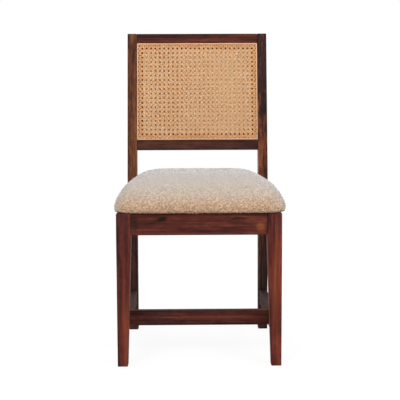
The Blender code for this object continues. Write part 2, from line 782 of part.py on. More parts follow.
def make_block(corner, chair):
    """A corner block behind a leg, screwed to both aprons."""
    leg_across = SIDE_RAIL_IN - corner.leg_x
    leg_along = corner.way_in * (corner.leg_y - corner.apron_y)
    plan = block_outline(leg_across, leg_along)
    rings = []
    for height in (BLOCK_BOTTOM, BLOCK_TOP):
        rings.append([corner_point(corner, across, along, height) for across, along in plan])
    return make_piece("corner_block_" + corner.name, loft(rings), BARE_WOOD, chair)


def drive_screw(name, mesh, place, direction, length, pieces, chair):
    """Place a screw with its head at a point and cut its hole through some pieces."""
    aim(link_object(name, mesh, chair), place, direction)
    hole = make_hole_tool(name + "_hole", place, direction, length + GAP, chair)
    for piece in pieces:
        apply_tool(piece, hole, "DIFFERENCE")


def make_corner_blocks(chair, aprons, board, dust_cover):
    """Blocks in the seat frame's corners, two screws in each and one up into the seat board."""
    block_mesh = make_screw_mesh("block_screw", BLOCK_SCREW_LENGTH)
    seat_screw_length = BOARD_BOTTOM + SEAT_SCREW_BITE - BLOCK_BOTTOM
    seat_mesh = make_screw_mesh("seat_screw", seat_screw_length)
    face_middle = (BLOCK_ARM + BLOCK_END) / 2
    shift = BLOCK_SCREW_SPREAD / 2 * math.cos(math.pi / 4)
    middle_height = (BLOCK_BOTTOM + BLOCK_TOP) / 2
    for corner in seat_corners():
        block = make_block(corner, chair)
        end_apron = aprons["front_apron" if corner.way_in > 0 else "back_apron"]
        side_apron = aprons["side_apron_left" if corner.side < 0 else "side_apron_right"]
        into_corner = (corner.side, -corner.way_in, 0.0)
        name = "block_screw_" + corner.name
        place = corner_point(corner, face_middle + shift, face_middle - shift, middle_height)
        drive_screw(name + "_end", block_mesh, place, into_corner, BLOCK_SCREW_LENGTH,
                    (block, end_apron), chair)
        place = corner_point(corner, face_middle - shift, face_middle + shift, middle_height)
        drive_screw(name + "_side", block_mesh, place, into_corner, BLOCK_SCREW_LENGTH,
                    (block, side_apron), chair)
        place = corner_point(corner, SEAT_SCREW_SETBACK, SEAT_SCREW_SETBACK, BLOCK_BOTTOM)
        drive_screw("seat_screw_" + corner.name, seat_mesh, place, (0.0, 0.0, 1.0),
                    seat_screw_length, (block, dust_cover, board), chair)


def make_seat(chair):
    """The upholstered pad; returns its board and dust cover, which the seat screws pass."""
    layer = COVER_THICKNESS + GAP
    board = make_flat_sheet("seat_board", BOARD_INSET, layer, BOARD_BOTTOM, BOARD_THICKNESS,
                            PLYWOOD, chair)
    dust_bottom = BOARD_BOTTOM - GAP - DUST_COVER_THICKNESS
    dust_cover = make_flat_sheet("dust_cover", HEM_INSET + GAP, layer, dust_bottom,
                                 DUST_COVER_THICKNESS, DUST_CLOTH, chair)
    make_foam(chair)
    make_cover(chair)
    return board, dust_cover


clear_scene()
chair_frame = make_empty("chair")
chair_frame.location = (0.0, -CHAIR_MIDDLE, 0.0)
back_frame = make_empty("leaning_back", chair_frame)
back_frame.location = (0.0, LEG_SPACING, BEND_HEIGHT)
back_frame.rotation_euler = (-RAKE_ANGLE, 0.0, 0.0)
apron_pieces = make_frame(chair_frame, back_frame)
make_panel(back_frame)
seat_board, seat_dust_cover = make_seat(chair_frame)
make_corner_blocks(chair_frame, apron_pieces, seat_board, seat_dust_cover)
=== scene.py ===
"""The looks of a dining chair: stained wood frame, woven cane in the back and a looped cloth seat.

Metres, +Z up, the chair faces -Y. Left and right are as seen from the front.
"""

import math

import bmesh
import bpy
from mathutils import Matrix, Vector


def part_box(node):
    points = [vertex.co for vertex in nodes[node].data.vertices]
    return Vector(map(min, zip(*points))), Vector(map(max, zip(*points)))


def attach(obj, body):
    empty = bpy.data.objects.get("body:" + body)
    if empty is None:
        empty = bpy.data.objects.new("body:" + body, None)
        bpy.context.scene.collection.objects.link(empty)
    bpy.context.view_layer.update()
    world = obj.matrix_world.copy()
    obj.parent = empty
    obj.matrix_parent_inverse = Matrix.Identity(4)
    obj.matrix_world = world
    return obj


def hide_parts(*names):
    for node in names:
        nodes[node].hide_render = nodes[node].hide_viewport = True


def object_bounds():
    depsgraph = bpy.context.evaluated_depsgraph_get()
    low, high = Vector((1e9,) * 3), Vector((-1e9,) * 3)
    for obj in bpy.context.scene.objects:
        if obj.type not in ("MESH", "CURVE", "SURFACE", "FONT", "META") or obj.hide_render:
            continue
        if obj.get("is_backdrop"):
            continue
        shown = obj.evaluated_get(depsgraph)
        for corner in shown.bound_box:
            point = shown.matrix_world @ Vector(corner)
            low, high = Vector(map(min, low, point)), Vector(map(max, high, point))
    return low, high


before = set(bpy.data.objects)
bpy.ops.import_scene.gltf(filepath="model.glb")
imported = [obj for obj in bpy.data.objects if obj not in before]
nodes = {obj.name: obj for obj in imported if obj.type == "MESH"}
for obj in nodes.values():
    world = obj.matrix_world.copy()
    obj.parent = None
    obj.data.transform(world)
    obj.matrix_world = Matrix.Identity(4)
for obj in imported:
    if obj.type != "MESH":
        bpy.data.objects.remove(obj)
cad_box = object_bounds()

# Front legs: solid hardwood, square above and tapered below, stained a dark red-brown and sprayed
# with satin lacquer. The grain runs up each leg, and the stain takes differently on each.
GRAIN_UP = (0.0, 0.0, 0.0)
GRAIN_ACROSS = (0.0, math.pi / 2, 0.0)
GRAIN_BACK = (math.pi / 2, 0.0, 0.0)
STAIN_DARK = (0.022, 0.0052, 0.0040)
STAIN_MIDDLE = (0.080, 0.0150, 0.0098)
STAIN_LIGHT = (0.170, 0.0400, 0.0200)


def put(tree, kind, inputs=None, **settings):
    """Add a node; sockets among its inputs are linked and other values are set."""
    node = tree.nodes.new(kind)
    for name, value in settings.items():
        setattr(node, name, value)
    for name, value in (inputs or {}).items():
        if isinstance(value, bpy.types.NodeSocket):
            tree.links.new(value, node.inputs[name])
        else:
            node.inputs[name].default_value = value
    return node


def calc(tree, operation, *values):
    """A maths step on sockets or numbers."""
    return put(tree, "ShaderNodeMath", dict(enumerate(values)), operation=operation).outputs[0]


def blend_colours(tree, share, first, second, kind="MIX"):
    """Mix two colours, each a socket or red, green and blue."""
    colours = [c if isinstance(c, bpy.types.NodeSocket) else (*c, 1.0) for c in (first, second)]
    mix = put(tree, "ShaderNodeMix", {0: share, 6: colours[0], 7: colours[1]}, data_type="RGBA", blend_type=kind)
    return mix.outputs[2]


def colour_ramp(tree, factor, stops):
    ramp = put(tree, "ShaderNodeValToRGB", {"Fac": factor})
    elements = ramp.color_ramp.elements
    while len(elements) < len(stops):
        elements.new(0.5)
    for element, (position, colour) in zip(elements, stops):
        element.position = position
        element.color = (*colour, 1.0)
    return ramp.outputs["Color"]


def new_material(name, roughness):
    """A material with its tree, its shader and the piece's own coordinates."""
    material = bpy.data.materials.new(name)
    material.use_nodes = True
    tree = material.node_tree
    shader = tree.nodes["Principled BSDF"]
    shader.inputs["Roughness"].default_value = roughness
    place = put(tree, "ShaderNodeTexCoord").outputs["Object"]
    return material, tree, shader, place


def noise(tree, place, scale, detail=3.0, roughness=0.55, distortion=0.0):
    """Noise from 0 to 1; scale is in cycles a metre along each axis."""
    stretched = put(tree, "ShaderNodeMapping", {"Vector": place, "Scale": scale}).outputs[0]
    settings = {"Vector": stretched, "Scale": 1.0, "Detail": detail, "Roughness": roughness,
                "Distortion": distortion}
    return put(tree, "ShaderNodeTexNoise", settings).outputs["Fac"]


def bump(tree, shader, height, distance, strength=1.0):
    relief = put(tree, "ShaderNodeBump", {"Height": height, "Distance": distance, "Strength": strength})
    tree.links.new(relief.outputs["Normal"], shader.inputs["Normal"])


def stained_wood(name, grain_turn, shift, tint=(1.0, 1.0, 1.0), marks_and_painted_light=(), matt=0.48):
    """Stained and lacquered hardwood; each mark is a centre, its radii, a colour and a strength: a patch of the wood's
    own tone on some pieces, painted shade, shadow and reflection on others.
    """
    material, tree, shader, place = new_material(name, 0.36)
    grain = put(tree, "ShaderNodeMapping",
                {"Vector": place, "Rotation": grain_turn, "Location": (shift, 1.7 * shift, 0.6 * shift)}).outputs[0]
    figure = noise(tree, grain, (42.0, 30.0, 2.4), 4.0, 0.55, 0.9)
    streaks = noise(tree, grain, (210.0, 170.0, 5.0), 4.0, 0.60, 0.3)
    fibres = noise(tree, grain, (1100.0, 1100.0, 22.0), 2.0, 0.60)
    pores = noise(tree, grain, (620.0, 620.0, 34.0), 1.0, 0.50)
    blotches = noise(tree, grain, (16.0, 16.0, 1.6), 2.0, 0.50, 0.5)
    mottle = noise(tree, grain, (75.0, 75.0, 28.0), 2.0, 0.50, 0.6)
    broad = calc(tree, "MULTIPLY_ADD", figure, 0.38, calc(tree, "MULTIPLY", blotches, 0.20))
    broad = calc(tree, "MULTIPLY_ADD", mottle, 0.14, broad)
    depth = calc(tree, "MULTIPLY_ADD", streaks, 0.28, broad)
    stops = ((0.41, STAIN_DARK), (0.50, STAIN_MIDDLE), (0.595, STAIN_LIGHT))
    tinted = [(position, [value * share for value, share in zip(colour, tint)]) for position, colour in stops]
    colour = colour_ramp(tree, depth, tinted)
    fine = calc(tree, "MULTIPLY_ADD", fibres, 0.5, 0.75)
    colour = blend_colours(tree, 0.55, colour, colour_ramp(tree, fine, ((0.8, (0.62, 0.60, 0.58)), (1.2, (1, 1, 1)))),
                           "MULTIPLY")
    pore = put(tree, "ShaderNodeMapRange", {"Value": pores, "From Min": 0.64, "From Max": 0.74}).outputs[0]
    colour = blend_colours(tree, calc(tree, "MULTIPLY", pore, 0.55), colour, (0.012, 0.005, 0.004))
    contrast = put(tree, "ShaderNodeMapRange", {
        "Value": depth, "From Min": 0.41, "From Max": 0.60, "To Min": 0.30, "To Max": 1.85,
    }).outputs[0]
    for centre, radii, mark_colour, strength in marks_and_painted_light:
        offset = put(tree, "ShaderNodeVectorMath", {0: place, 1: centre}, operation="SUBTRACT").outputs[0]
        shares = put(tree, "ShaderNodeVectorMath", {0: offset, 1: radii}, operation="DIVIDE").outputs[0]
        reach = put(tree, "ShaderNodeVectorMath", {0: shares}, operation="LENGTH").outputs["Value"]
        ragged = calc(tree, "MULTIPLY_ADD", calc(tree, "SUBTRACT", streaks, 0.5), 1.8, reach)
        ragged = calc(tree, "MULTIPLY_ADD", calc(tree, "SUBTRACT", mottle, 0.5), 1.5, ragged)
        mask = put(tree, "ShaderNodeMapRange", {"Value": ragged, "From Min": 1.15, "From Max": 0.35},
                   interpolation_type="SMOOTHSTEP").outputs[0]
        grained = put(tree, "ShaderNodeVectorMath", {0: mark_colour, "Scale": contrast}, operation="SCALE").outputs[0]
        colour = blend_colours(tree, calc(tree, "MULTIPLY", mask, strength), colour, grained)
    tree.links.new(colour, shader.inputs["Base Color"])
    uneven = noise(tree, place, (9.0, 9.0, 9.0), 3.0)
    gloss = calc(tree, "MULTIPLY_ADD", uneven, 0.16, calc(tree, "MULTIPLY_ADD", fibres, 0.10, matt))
    tree.links.new(gloss, shader.inputs["Roughness"])
    shader.inputs["Specular IOR Level"].default_value = 0.12
    relief = calc(tree, "SUBTRACT", calc(tree, "MULTIPLY", fibres, 0.35), pore)
    bump(tree, shader, relief, 0.00012)
    return material


def finish_node(name, material):
    """Give a carried-over CAD piece its finish."""
    nodes[name].material_slots[0].material = material


# Each front leg is darker along its outer edge.
OUTER_EDGE_DARK = (0.018, 0.0060, 0.0058)
LEG_MARKS = {
    "front_leg_left": (((-0.2385, -0.25, 0.210), (0.0135, 0.05, 0.420), OUTER_EDGE_DARK, 0.85),
                       ((-0.210, -0.25, 0.400), (0.030, 0.05, 0.060), (0.038, 0.0100, 0.0100), 0.65),
                       ((-0.222, -0.25, 0.330), (0.007, 0.05, 0.110), (0.030, 0.009, 0.007), 0.6),
                       ((-0.205, -0.25, 0.080), (0.020, 0.05, 0.110), (0.160, 0.036, 0.017), 0.6)),
    "front_leg_right": (((0.2385, -0.25, 0.210), (0.0115, 0.05, 0.420), OUTER_EDGE_DARK, 0.80),
                        ((0.210, -0.25, 0.400), (0.030, 0.05, 0.060), (0.050, 0.0122, 0.0115), 0.65),
                        ((0.224, -0.25, 0.230), (0.005, 0.05, 0.190), (0.030, 0.010, 0.008), 0.6),
                        ((0.208, -0.25, 0.240), (0.011, 0.05, 0.120), (0.190, 0.045, 0.019), 0.6)),
}
for name, shift, tint in (("front_leg_left", 0.31, (1.08, 1.05, 1.08)), ("front_leg_right", 1.93, (1.28, 1.15, 1.10))):
    finish_node(name, stained_wood(name + "_wood", GRAIN_UP, shift, tint, LEG_MARKS[name]))

# Back legs: one length of hardwood each, straight to the seat and leaning back above it as the
# posts of the back. The left post is a browner piece than the rest and the right one the darkest.
DARK_POST = ((0.215, 0.20, 0.87), (0.05, 0.20, 0.26), (0.018, 0.0078, 0.0070), 0.95)
# Below the seat each back leg is painted darker and redder: a painted shade cast by the seat above.
UNDER_SEAT_SHADE_LEFT = ((-0.215, 0.15, 0.15), (0.05, 0.10, 0.36), (0.032, 0.0126, 0.0106), 0.88)
UNDER_SEAT_SHADE_RIGHT = ((0.215, 0.15, 0.15), (0.05, 0.10, 0.36), (0.027, 0.0110, 0.0092), 0.88)
finish_node("back_leg_left", stained_wood("back_leg_left_wood", GRAIN_UP, 4.17, (1.12, 1.75, 1.20),
                                          (UNDER_SEAT_SHADE_LEFT,)))
finish_node("back_leg_right", stained_wood("back_leg_right_wood", GRAIN_UP, 6.53, (1.22, 1.65, 1.22),
                                           (DARK_POST, UNDER_SEAT_SHADE_RIGHT)))

# Seat frame: four aprons tenoned into the legs. The front one shows a small dark knot, a dark
# streak near its right end and a patch of lighter wood beside it.
APRON_FACE = -0.2441
KNOT = ((-0.0995, APRON_FACE, 0.4078), (0.0185, 0.02, 0.0080), (0.008, 0.003, 0.003), 0.97)
STREAK = ((0.112, APRON_FACE, 0.4085), (0.040, 0.02, 0.0055), (0.013, 0.004, 0.003), 0.88)
PALE_PATCH = ((0.168, APRON_FACE, 0.384), (0.015, 0.02, 0.015), (0.280, 0.085, 0.022), 0.50)
# Beside the left front leg a dark band on the apron is a painted shade where the apron meets the leg.
SHADE_BY_LEFT_LEG = ((-0.177, APRON_FACE, 0.393), (0.012, 0.02, 0.050), (0.022, 0.006, 0.005), 0.65)
finish_node("front_apron", stained_wood("front_apron_wood", GRAIN_ACROSS, 8.41, (1.0, 1.04, 1.08),
                                        (KNOT, STREAK, PALE_PATCH, SHADE_BY_LEFT_LEG)))
finish_node("back_apron", stained_wood("back_apron_wood", GRAIN_ACROSS, 9.77, (0.9, 1.0, 1.0)))
finish_node("side_apron_left", stained_wood("side_apron_left_wood", GRAIN_BACK, 11.3, (1.0, 1.1, 1.0)))
finish_node("side_apron_right", stained_wood("side_apron_right_wood", GRAIN_BACK, 12.9, (1.1, 1.1, 1.0)))

# Stretchers: an H of three bars near the floor, each let into its neighbours, in the same finish.
# The side stretchers get a darker tint, a painted shade under the seat, and a pale strip along the top of their inner
# face, a painted reflection of the white room.
for side, shift, outward in (("left", 14.2, -1), ("right", 15.8, 1)):
    painted_reflection_top = ((outward * 0.190, 0.04, 0.131), (0.012, 0.11, 0.006), (0.105, 0.068, 0.050), 0.75)
    finish_node("side_stretcher_" + side, stained_wood("side_stretcher_" + side + "_wood", GRAIN_BACK, shift,
                                                       (0.55, 0.68, 0.72), (painted_reflection_top,), 0.74))
# On the cross stretcher the left part is painted darker, a painted shadow of the left front leg, and the right half has
# a lighter patch.
BAR_SHADOW_AND_PATCH = (((-0.130, 0.0, 0.16), (0.075, 1.0, 1.0), (0.030, 0.0108, 0.0112), 0.65),
             ((0.090, 0.0, 0.16), (0.110, 1.0, 1.0), (0.120, 0.0290, 0.0215), 0.5))
finish_node("cross_stretcher", stained_wood("cross_stretcher_wood", GRAIN_ACROSS, 17.1, (0.85, 1.06, 1.22), BAR_SHADOW_AND_PATCH, 0.74))

# Rails of the back: two straight rails tenoned between the posts, leaning with them.
finish_node("top_rail", stained_wood("top_rail_wood", GRAIN_ACROSS, 19.6, (1.0, 1.1, 0.95)))
finish_node("lower_back_rail", stained_wood("lower_back_rail_wood", GRAIN_ACROSS, 21.4, (0.60, 0.87, 0.9)))

# Panel battens: a mitred frame of the same wood glued into the back's opening, with a groove at
# its outer edge that holds the cane. It shows as dark dots through the cane's holes.
for name, turn, shift in (("top", GRAIN_ACROSS, 23.0), ("bottom", GRAIN_ACROSS, 24.5),
                          ("left", GRAIN_UP, 26.1), ("right", GRAIN_UP, 27.7)):
    finish_node("panel_batten_" + name, stained_wood("batten_" + name + "_wood", turn, shift, (1.0, 0.85, 0.5),
                                                     (), 0.90))

# Cane: a ready-woven sheet of split rattan on each face of the battens, in the six-way pattern of
# two upright strands, two level ones and two diagonals. It is tucked into the groove at its edge.
CHAIR_MIDDLE = 0.24715
LEG_SPACING = 0.410
BEND_HEIGHT = 0.450
RAKE_ANGLE = math.atan(0.073 / (0.958 - BEND_HEIGHT))
POST_INNER = 0.195
PANEL_HALF_HEIGHT = 0.31484 / 2
PANEL_CENTRE = (0.958 - BEND_HEIGHT) / math.cos(RAKE_ANGLE) - 0.031 - PANEL_HALF_HEIGHT
PANEL_REVEAL = 0.003
PANEL_THICKNESS = 2 * 0.0015 + 0.014
WEAVE = {
    "Half width": POST_INNER - 0.0042,
    "Half height": PANEL_HALF_HEIGHT - 0.0042,
    "Pitch across": 0.01420,
    "Pitch up": 0.01470,
    "Shift across": 0.0,
    "Shift up": 0.0,
    "Pair spread": 0.00260,
    "Strand width": 0.00400,
    "Strand thickness": 0.00050,
    "Pair weave": 0.00035,
    "Diagonal weave": 0.00078,
    "Tuck depth": 0.0010,
    "Tuck length": 0.0018,
    "Edge gap": 0.0035,
    "Middle width": 0.25,
}
BACK_WEAVE = dict(WEAVE, **{"Shift across": 0.0071, "Shift up": 0.0073})
CANE_LIGHT = (0.790, 0.466, 0.248)
CANE_DARK = (0.672, 0.374, 0.187)
CANE_FIBRE = (0.86, 0.80, 0.72)
CANE_PITH = (0.970, 0.680, 0.400)
CANE_BROWN = (0.600, 0.310, 0.110)
CANE_RIM = (1.0, 0.92, 0.78)
CANE_EDGE = (0.78, 0.52, 0.28)
FACES_FRONT = Matrix.Rotation(math.pi / 2, 4, "X")
FACES_BACK = Matrix.Rotation(math.pi, 4, "Z") @ FACES_FRONT


def new_tree(name, sizes):
    """A geometry tree with one geometry input and a named input for each size."""
    tree = bpy.data.node_groups.new(name, "GeometryNodeTree")
    tree.interface.new_socket("Geometry", in_out="INPUT", socket_type="NodeSocketGeometry")
    for label in sizes:
        tree.interface.new_socket(label, in_out="INPUT", socket_type="NodeSocketFloat")
    tree.interface.new_socket("Finish", in_out="INPUT", socket_type="NodeSocketMaterial")
    tree.interface.new_socket("Geometry", in_out="OUTPUT", socket_type="NodeSocketGeometry")
    inputs = tree.nodes.new("NodeGroupInput").outputs
    return tree, inputs


def end_tree(tree, inputs, geometry):
    """Realise what the tree made, give it its finish and send it out."""
    realised = put(tree, "GeometryNodeRealizeInstances", {"Geometry": geometry})
    finished = put(tree, "GeometryNodeSetMaterial",
                   {"Geometry": realised.outputs[0], "Material": inputs["Finish"]})
    put(tree, "NodeGroupOutput", {0: finished.outputs[0]})


def run_tree(tree, name, sizes, finish, start=None):
    """Run a geometry tree with its sizes and keep the result as a plain mesh object."""
    piece = bpy.data.objects.new(name, start or bpy.data.meshes.new(name + "_start"))
    bpy.context.scene.collection.objects.link(piece)
    modifier = piece.modifiers.new("maker", "NODES")
    modifier.node_group = tree
    values = dict(sizes, Finish=finish)
    for item in tree.interface.items_tree:
        if item.item_type == "SOCKET" and item.in_out == "INPUT" and item.name in values:
            modifier[item.identifier] = values[item.name]
    depsgraph = bpy.context.evaluated_depsgraph_get()
    mesh = bpy.data.meshes.new_from_object(piece.evaluated_get(depsgraph), depsgraph=depsgraph)
    mesh.name = name
    piece.modifiers.clear()
    piece.data = mesh
    return piece


def faces_out(mesh):
    bm = bmesh.new()
    bm.from_mesh(mesh)
    bmesh.ops.recalc_face_normals(bm, faces=bm.faces)
    bm.to_mesh(mesh)
    bm.free()


def six_way_weave():
    """Strands as tubes in a plane: X across, Y up, Z towards the viewer."""
    tree, size = new_tree("six_way_weave", WEAVE)
    across, up = size["Pitch across"], size["Pitch up"]
    half_width, half_height = size["Half width"], size["Half height"]
    low_width = calc(tree, "MULTIPLY", half_width, -1.0)
    low_height = calc(tree, "MULTIPLY", half_height, -1.0)

    def clamp(value, low, high):
        return calc(tree, "MINIMUM", calc(tree, "MAXIMUM", value, low), high)

    def grid(step, half_length, first, count):
        """A line of points for each strand: X is the place along it and Y the strand's number."""
        reach = calc(tree, "CEIL", calc(tree, "DIVIDE", half_length, step))
        samples = calc(tree, "MULTIPLY_ADD", reach, 2.0, 1.0)
        start = calc(tree, "MULTIPLY", calc(tree, "MULTIPLY", reach, step), -1.0)
        line = put(tree, "GeometryNodeMeshLine", {
            "Count": samples,
            "Start Location": put(tree, "ShaderNodeCombineXYZ", {0: start}).outputs[0],
            "Offset": put(tree, "ShaderNodeCombineXYZ", {0: step}).outputs[0],
        })
        rows = put(tree, "GeometryNodeMeshLine", {
            "Count": count,
            "Start Location": put(tree, "ShaderNodeCombineXYZ", {1: first}).outputs[0],
            "Offset": (0.0, 1.0, 0.0),
        })
        copies = put(tree, "GeometryNodeInstanceOnPoints", {"Points": rows.outputs[0], "Instance": line.outputs[0]})
        return put(tree, "GeometryNodeRealizeInstances", {"Geometry": copies.outputs[0]}).outputs[0]

    place_now = put(tree, "ShaderNodeSeparateXYZ",
                    {0: put(tree, "GeometryNodeInputPosition").outputs[0]}).outputs

    def strands(points, x, y, z, number, first_number):
        """Move a grid's points to x, y and z, tuck the ends in, and sweep the strands."""
        to_side = calc(tree, "SUBTRACT", half_width, calc(tree, "ABSOLUTE", x))
        to_end = calc(tree, "SUBTRACT", half_height, calc(tree, "ABSOLUTE", y))
        edge = calc(tree, "DIVIDE", calc(tree, "MINIMUM", to_side, to_end), size["Tuck length"])
        tucked = calc(tree, "SUBTRACT", 1.0, clamp(edge, 0.0, 1.0))
        z = calc(tree, "SUBTRACT", z, calc(tree, "MULTIPLY", tucked, size["Tuck depth"]))
        labelled = put(tree, "GeometryNodeStoreNamedAttribute", {
            "Geometry": points, "Name": "strand", "Value": calc(tree, "ADD", number, first_number),
        }, data_type="FLOAT", domain="POINT").outputs[0]
        labelled = put(tree, "GeometryNodeStoreNamedAttribute", {
            "Geometry": labelled, "Name": "to_edge", "Value": calc(tree, "MINIMUM", to_side, to_end),
        }, data_type="FLOAT", domain="POINT").outputs[0]
        place = put(tree, "ShaderNodeCombineXYZ", {0: x, 1: y, 2: z}).outputs[0]
        moved = put(tree, "GeometryNodeSetPosition", {"Geometry": labelled, "Position": place}).outputs[0]
        curve = put(tree, "GeometryNodeMeshToCurve", {"Mesh": moved}).outputs[0]
        upright = put(tree, "GeometryNodeSetCurveNormal", {"Curve": curve}, mode="Z_UP").outputs[0]
        now_side = calc(tree, "SUBTRACT", half_width, calc(tree, "ABSOLUTE", place_now[0]))
        now_end = calc(tree, "SUBTRACT", half_height, calc(tree, "ABSOLUTE", place_now[1]))
        inside = put(tree, "ShaderNodeMapRange", {
            "Value": calc(tree, "MINIMUM", now_side, now_end), "From Min": 0.016, "From Max": 0.028,
        }).outputs[0]
        past_left = put(tree, "ShaderNodeMapRange", {
            "Value": calc(tree, "ABSOLUTE", calc(tree, "ADD", place_now[0], 0.100)), "From Min": 0.030, "From Max": 0.062,
        }).outputs[0]
        fuller = calc(tree, "MULTIPLY", calc(tree, "MULTIPLY", inside, past_left), size["Middle width"])
        section = put(tree, "GeometryNodeCurvePrimitiveQuadrilateral", {
            "Bottom Width": size["Strand width"],
            "Top Width": calc(tree, "MULTIPLY", size["Strand width"], 0.86),
            "Height": size["Strand thickness"],
            "Offset": 0.0,
        }, mode="TRAPEZOID").outputs[0]
        section_place = put(tree, "GeometryNodeInputPosition").outputs[0]
        section = put(tree, "GeometryNodeStoreNamedAttribute", {
            "Geometry": section, "Name": "across_strand",
            "Value": put(tree, "ShaderNodeSeparateXYZ", {0: section_place}).outputs[0],
        }, data_type="FLOAT", domain="POINT").outputs[0]
        sweep = {"Curve": upright, "Profile Curve": section, "Fill Caps": True,
                 "Scale": calc(tree, "ADD", fuller, 1.0)}
        swept = put(tree, "GeometryNodeCurveToMesh", sweep).outputs[0]
        facing = put(tree, "GeometryNodeInputNormal").outputs[0]
        inward = calc(tree, "LESS_THAN", put(tree, "ShaderNodeSeparateXYZ", {0: facing}).outputs[2], -0.3)
        return put(tree, "GeometryNodeStoreNamedAttribute", {"Geometry": swept, "Name": "pith", "Value": inward},
                   data_type="FLOAT", domain="FACE").outputs[0]

    place = put(tree, "ShaderNodeSeparateXYZ",
                {0: put(tree, "GeometryNodeInputPosition").outputs[0]}).outputs
    along, number = place[0], place[1]
    pair = calc(tree, "FLOOR", calc(tree, "MULTIPLY_ADD", number, 0.5, 0.1))
    member = calc(tree, "MULTIPLY_ADD", calc(tree, "MULTIPLY_ADD", pair, -2.0, number), 2.0, -1.0)
    spread = calc(tree, "MULTIPLY", member, size["Pair spread"])
    made = []
    for is_upright in (True, False):
        cross_pitch, long_pitch = (across, up) if is_upright else (up, across)
        cross_half, long_half = (half_width, half_height) if is_upright else (half_height, half_width)
        cross_shift, long_shift = size["Shift across"], size["Shift up"]
        if not is_upright:
            cross_shift, long_shift = long_shift, cross_shift
        step = calc(tree, "DIVIDE", long_pitch, 6.0)
        pairs = calc(tree, "CEIL", calc(tree, "DIVIDE", cross_half, cross_pitch))
        first = calc(tree, "MULTIPLY", pairs, -2.0)
        points = grid(step, long_half, first, calc(tree, "MULTIPLY_ADD", pairs, 4.0, 2.0))
        middle = calc(tree, "ADD", calc(tree, "MULTIPLY_ADD", pair, cross_pitch, spread), cross_shift)
        edge_room = calc(tree, "MULTIPLY_ADD", size["Strand width"], -0.5, cross_half)
        gap, off_centre = size["Edge gap"], 0.0
        if not is_upright:
            gap = off_centre = calc(tree, "MULTIPLY", size["Edge gap"], 0.5)
        from_centre = calc(tree, "ABSOLUTE", calc(tree, "ADD", middle, off_centre))
        outside = calc(tree, "GREATER_THAN", from_centre, calc(tree, "SUBTRACT", edge_room, gap))
        points = put(tree, "GeometryNodeDeleteGeometry", {"Geometry": points, "Selection": outside},
                     domain="POINT").outputs[0]
        run = clamp(along, low_height if is_upright else low_width, half_height if is_upright else half_width)
        phase = calc(tree, "MULTIPLY", calc(tree, "SUBTRACT", along, long_shift), 2 * math.pi)
        turn = calc(tree, "SINE", calc(tree, "DIVIDE", phase, long_pitch))
        side = member if is_upright else calc(tree, "MULTIPLY", member, -1.0)
        lift = calc(tree, "MULTIPLY", calc(tree, "MULTIPLY", turn, side), size["Pair weave"])
        x, y = (middle, run) if is_upright else (run, middle)
        made.append(strands(points, x, y, lift, number, 100.0 if is_upright else 200.0))
    for slope in (1.0, -1.0):
        step = calc(tree, "DIVIDE", across, 6.0)
        rows = calc(tree, "CEIL", calc(tree, "ADD", calc(tree, "DIVIDE", half_width, across),
                                       calc(tree, "DIVIDE", half_height, up)))
        first = calc(tree, "SUBTRACT", -1.0, rows)
        points = grid(step, half_width, first, calc(tree, "MULTIPLY_ADD", rows, 2.0, 2.0))
        x = clamp(along, low_width, half_width)
        from_shift = calc(tree, "DIVIDE", calc(tree, "SUBTRACT", x, size["Shift across"]), across)
        shares = calc(tree, "MULTIPLY_ADD", from_shift, slope, calc(tree, "ADD", number, 0.5))
        y = calc(tree, "MULTIPLY_ADD", shares, up, size["Shift up"])
        beyond = calc(tree, "SUBTRACT", y, clamp(y, low_height, half_height))
        too_far = calc(tree, "GREATER_THAN", calc(tree, "ABSOLUTE", beyond), calc(tree, "MULTIPLY", step, 1.05))
        kept = put(tree, "GeometryNodeDeleteGeometry", {"Geometry": points, "Selection": too_far},
                   domain="POINT").outputs[0]
        back = calc(tree, "MULTIPLY", calc(tree, "DIVIDE", calc(tree, "MULTIPLY", beyond, across), up), -slope)
        x = clamp(calc(tree, "ADD", x, back), low_width, half_width)
        y = calc(tree, "SUBTRACT", y, beyond)
        turn = calc(tree, "COSINE", calc(tree, "MULTIPLY", from_shift, 2 * math.pi))
        lift = calc(tree, "MULTIPLY", calc(tree, "MULTIPLY", turn, slope), size["Diagonal weave"])
        made.append(strands(kept, x, y, lift, number, 300.0 if slope > 0 else 400.0))
    joined = tree.nodes.new("GeometryNodeJoinGeometry")
    for strand_set in made:
        tree.links.new(strand_set, joined.inputs[0])
    end_tree(tree, size, joined.outputs[0])
    return tree


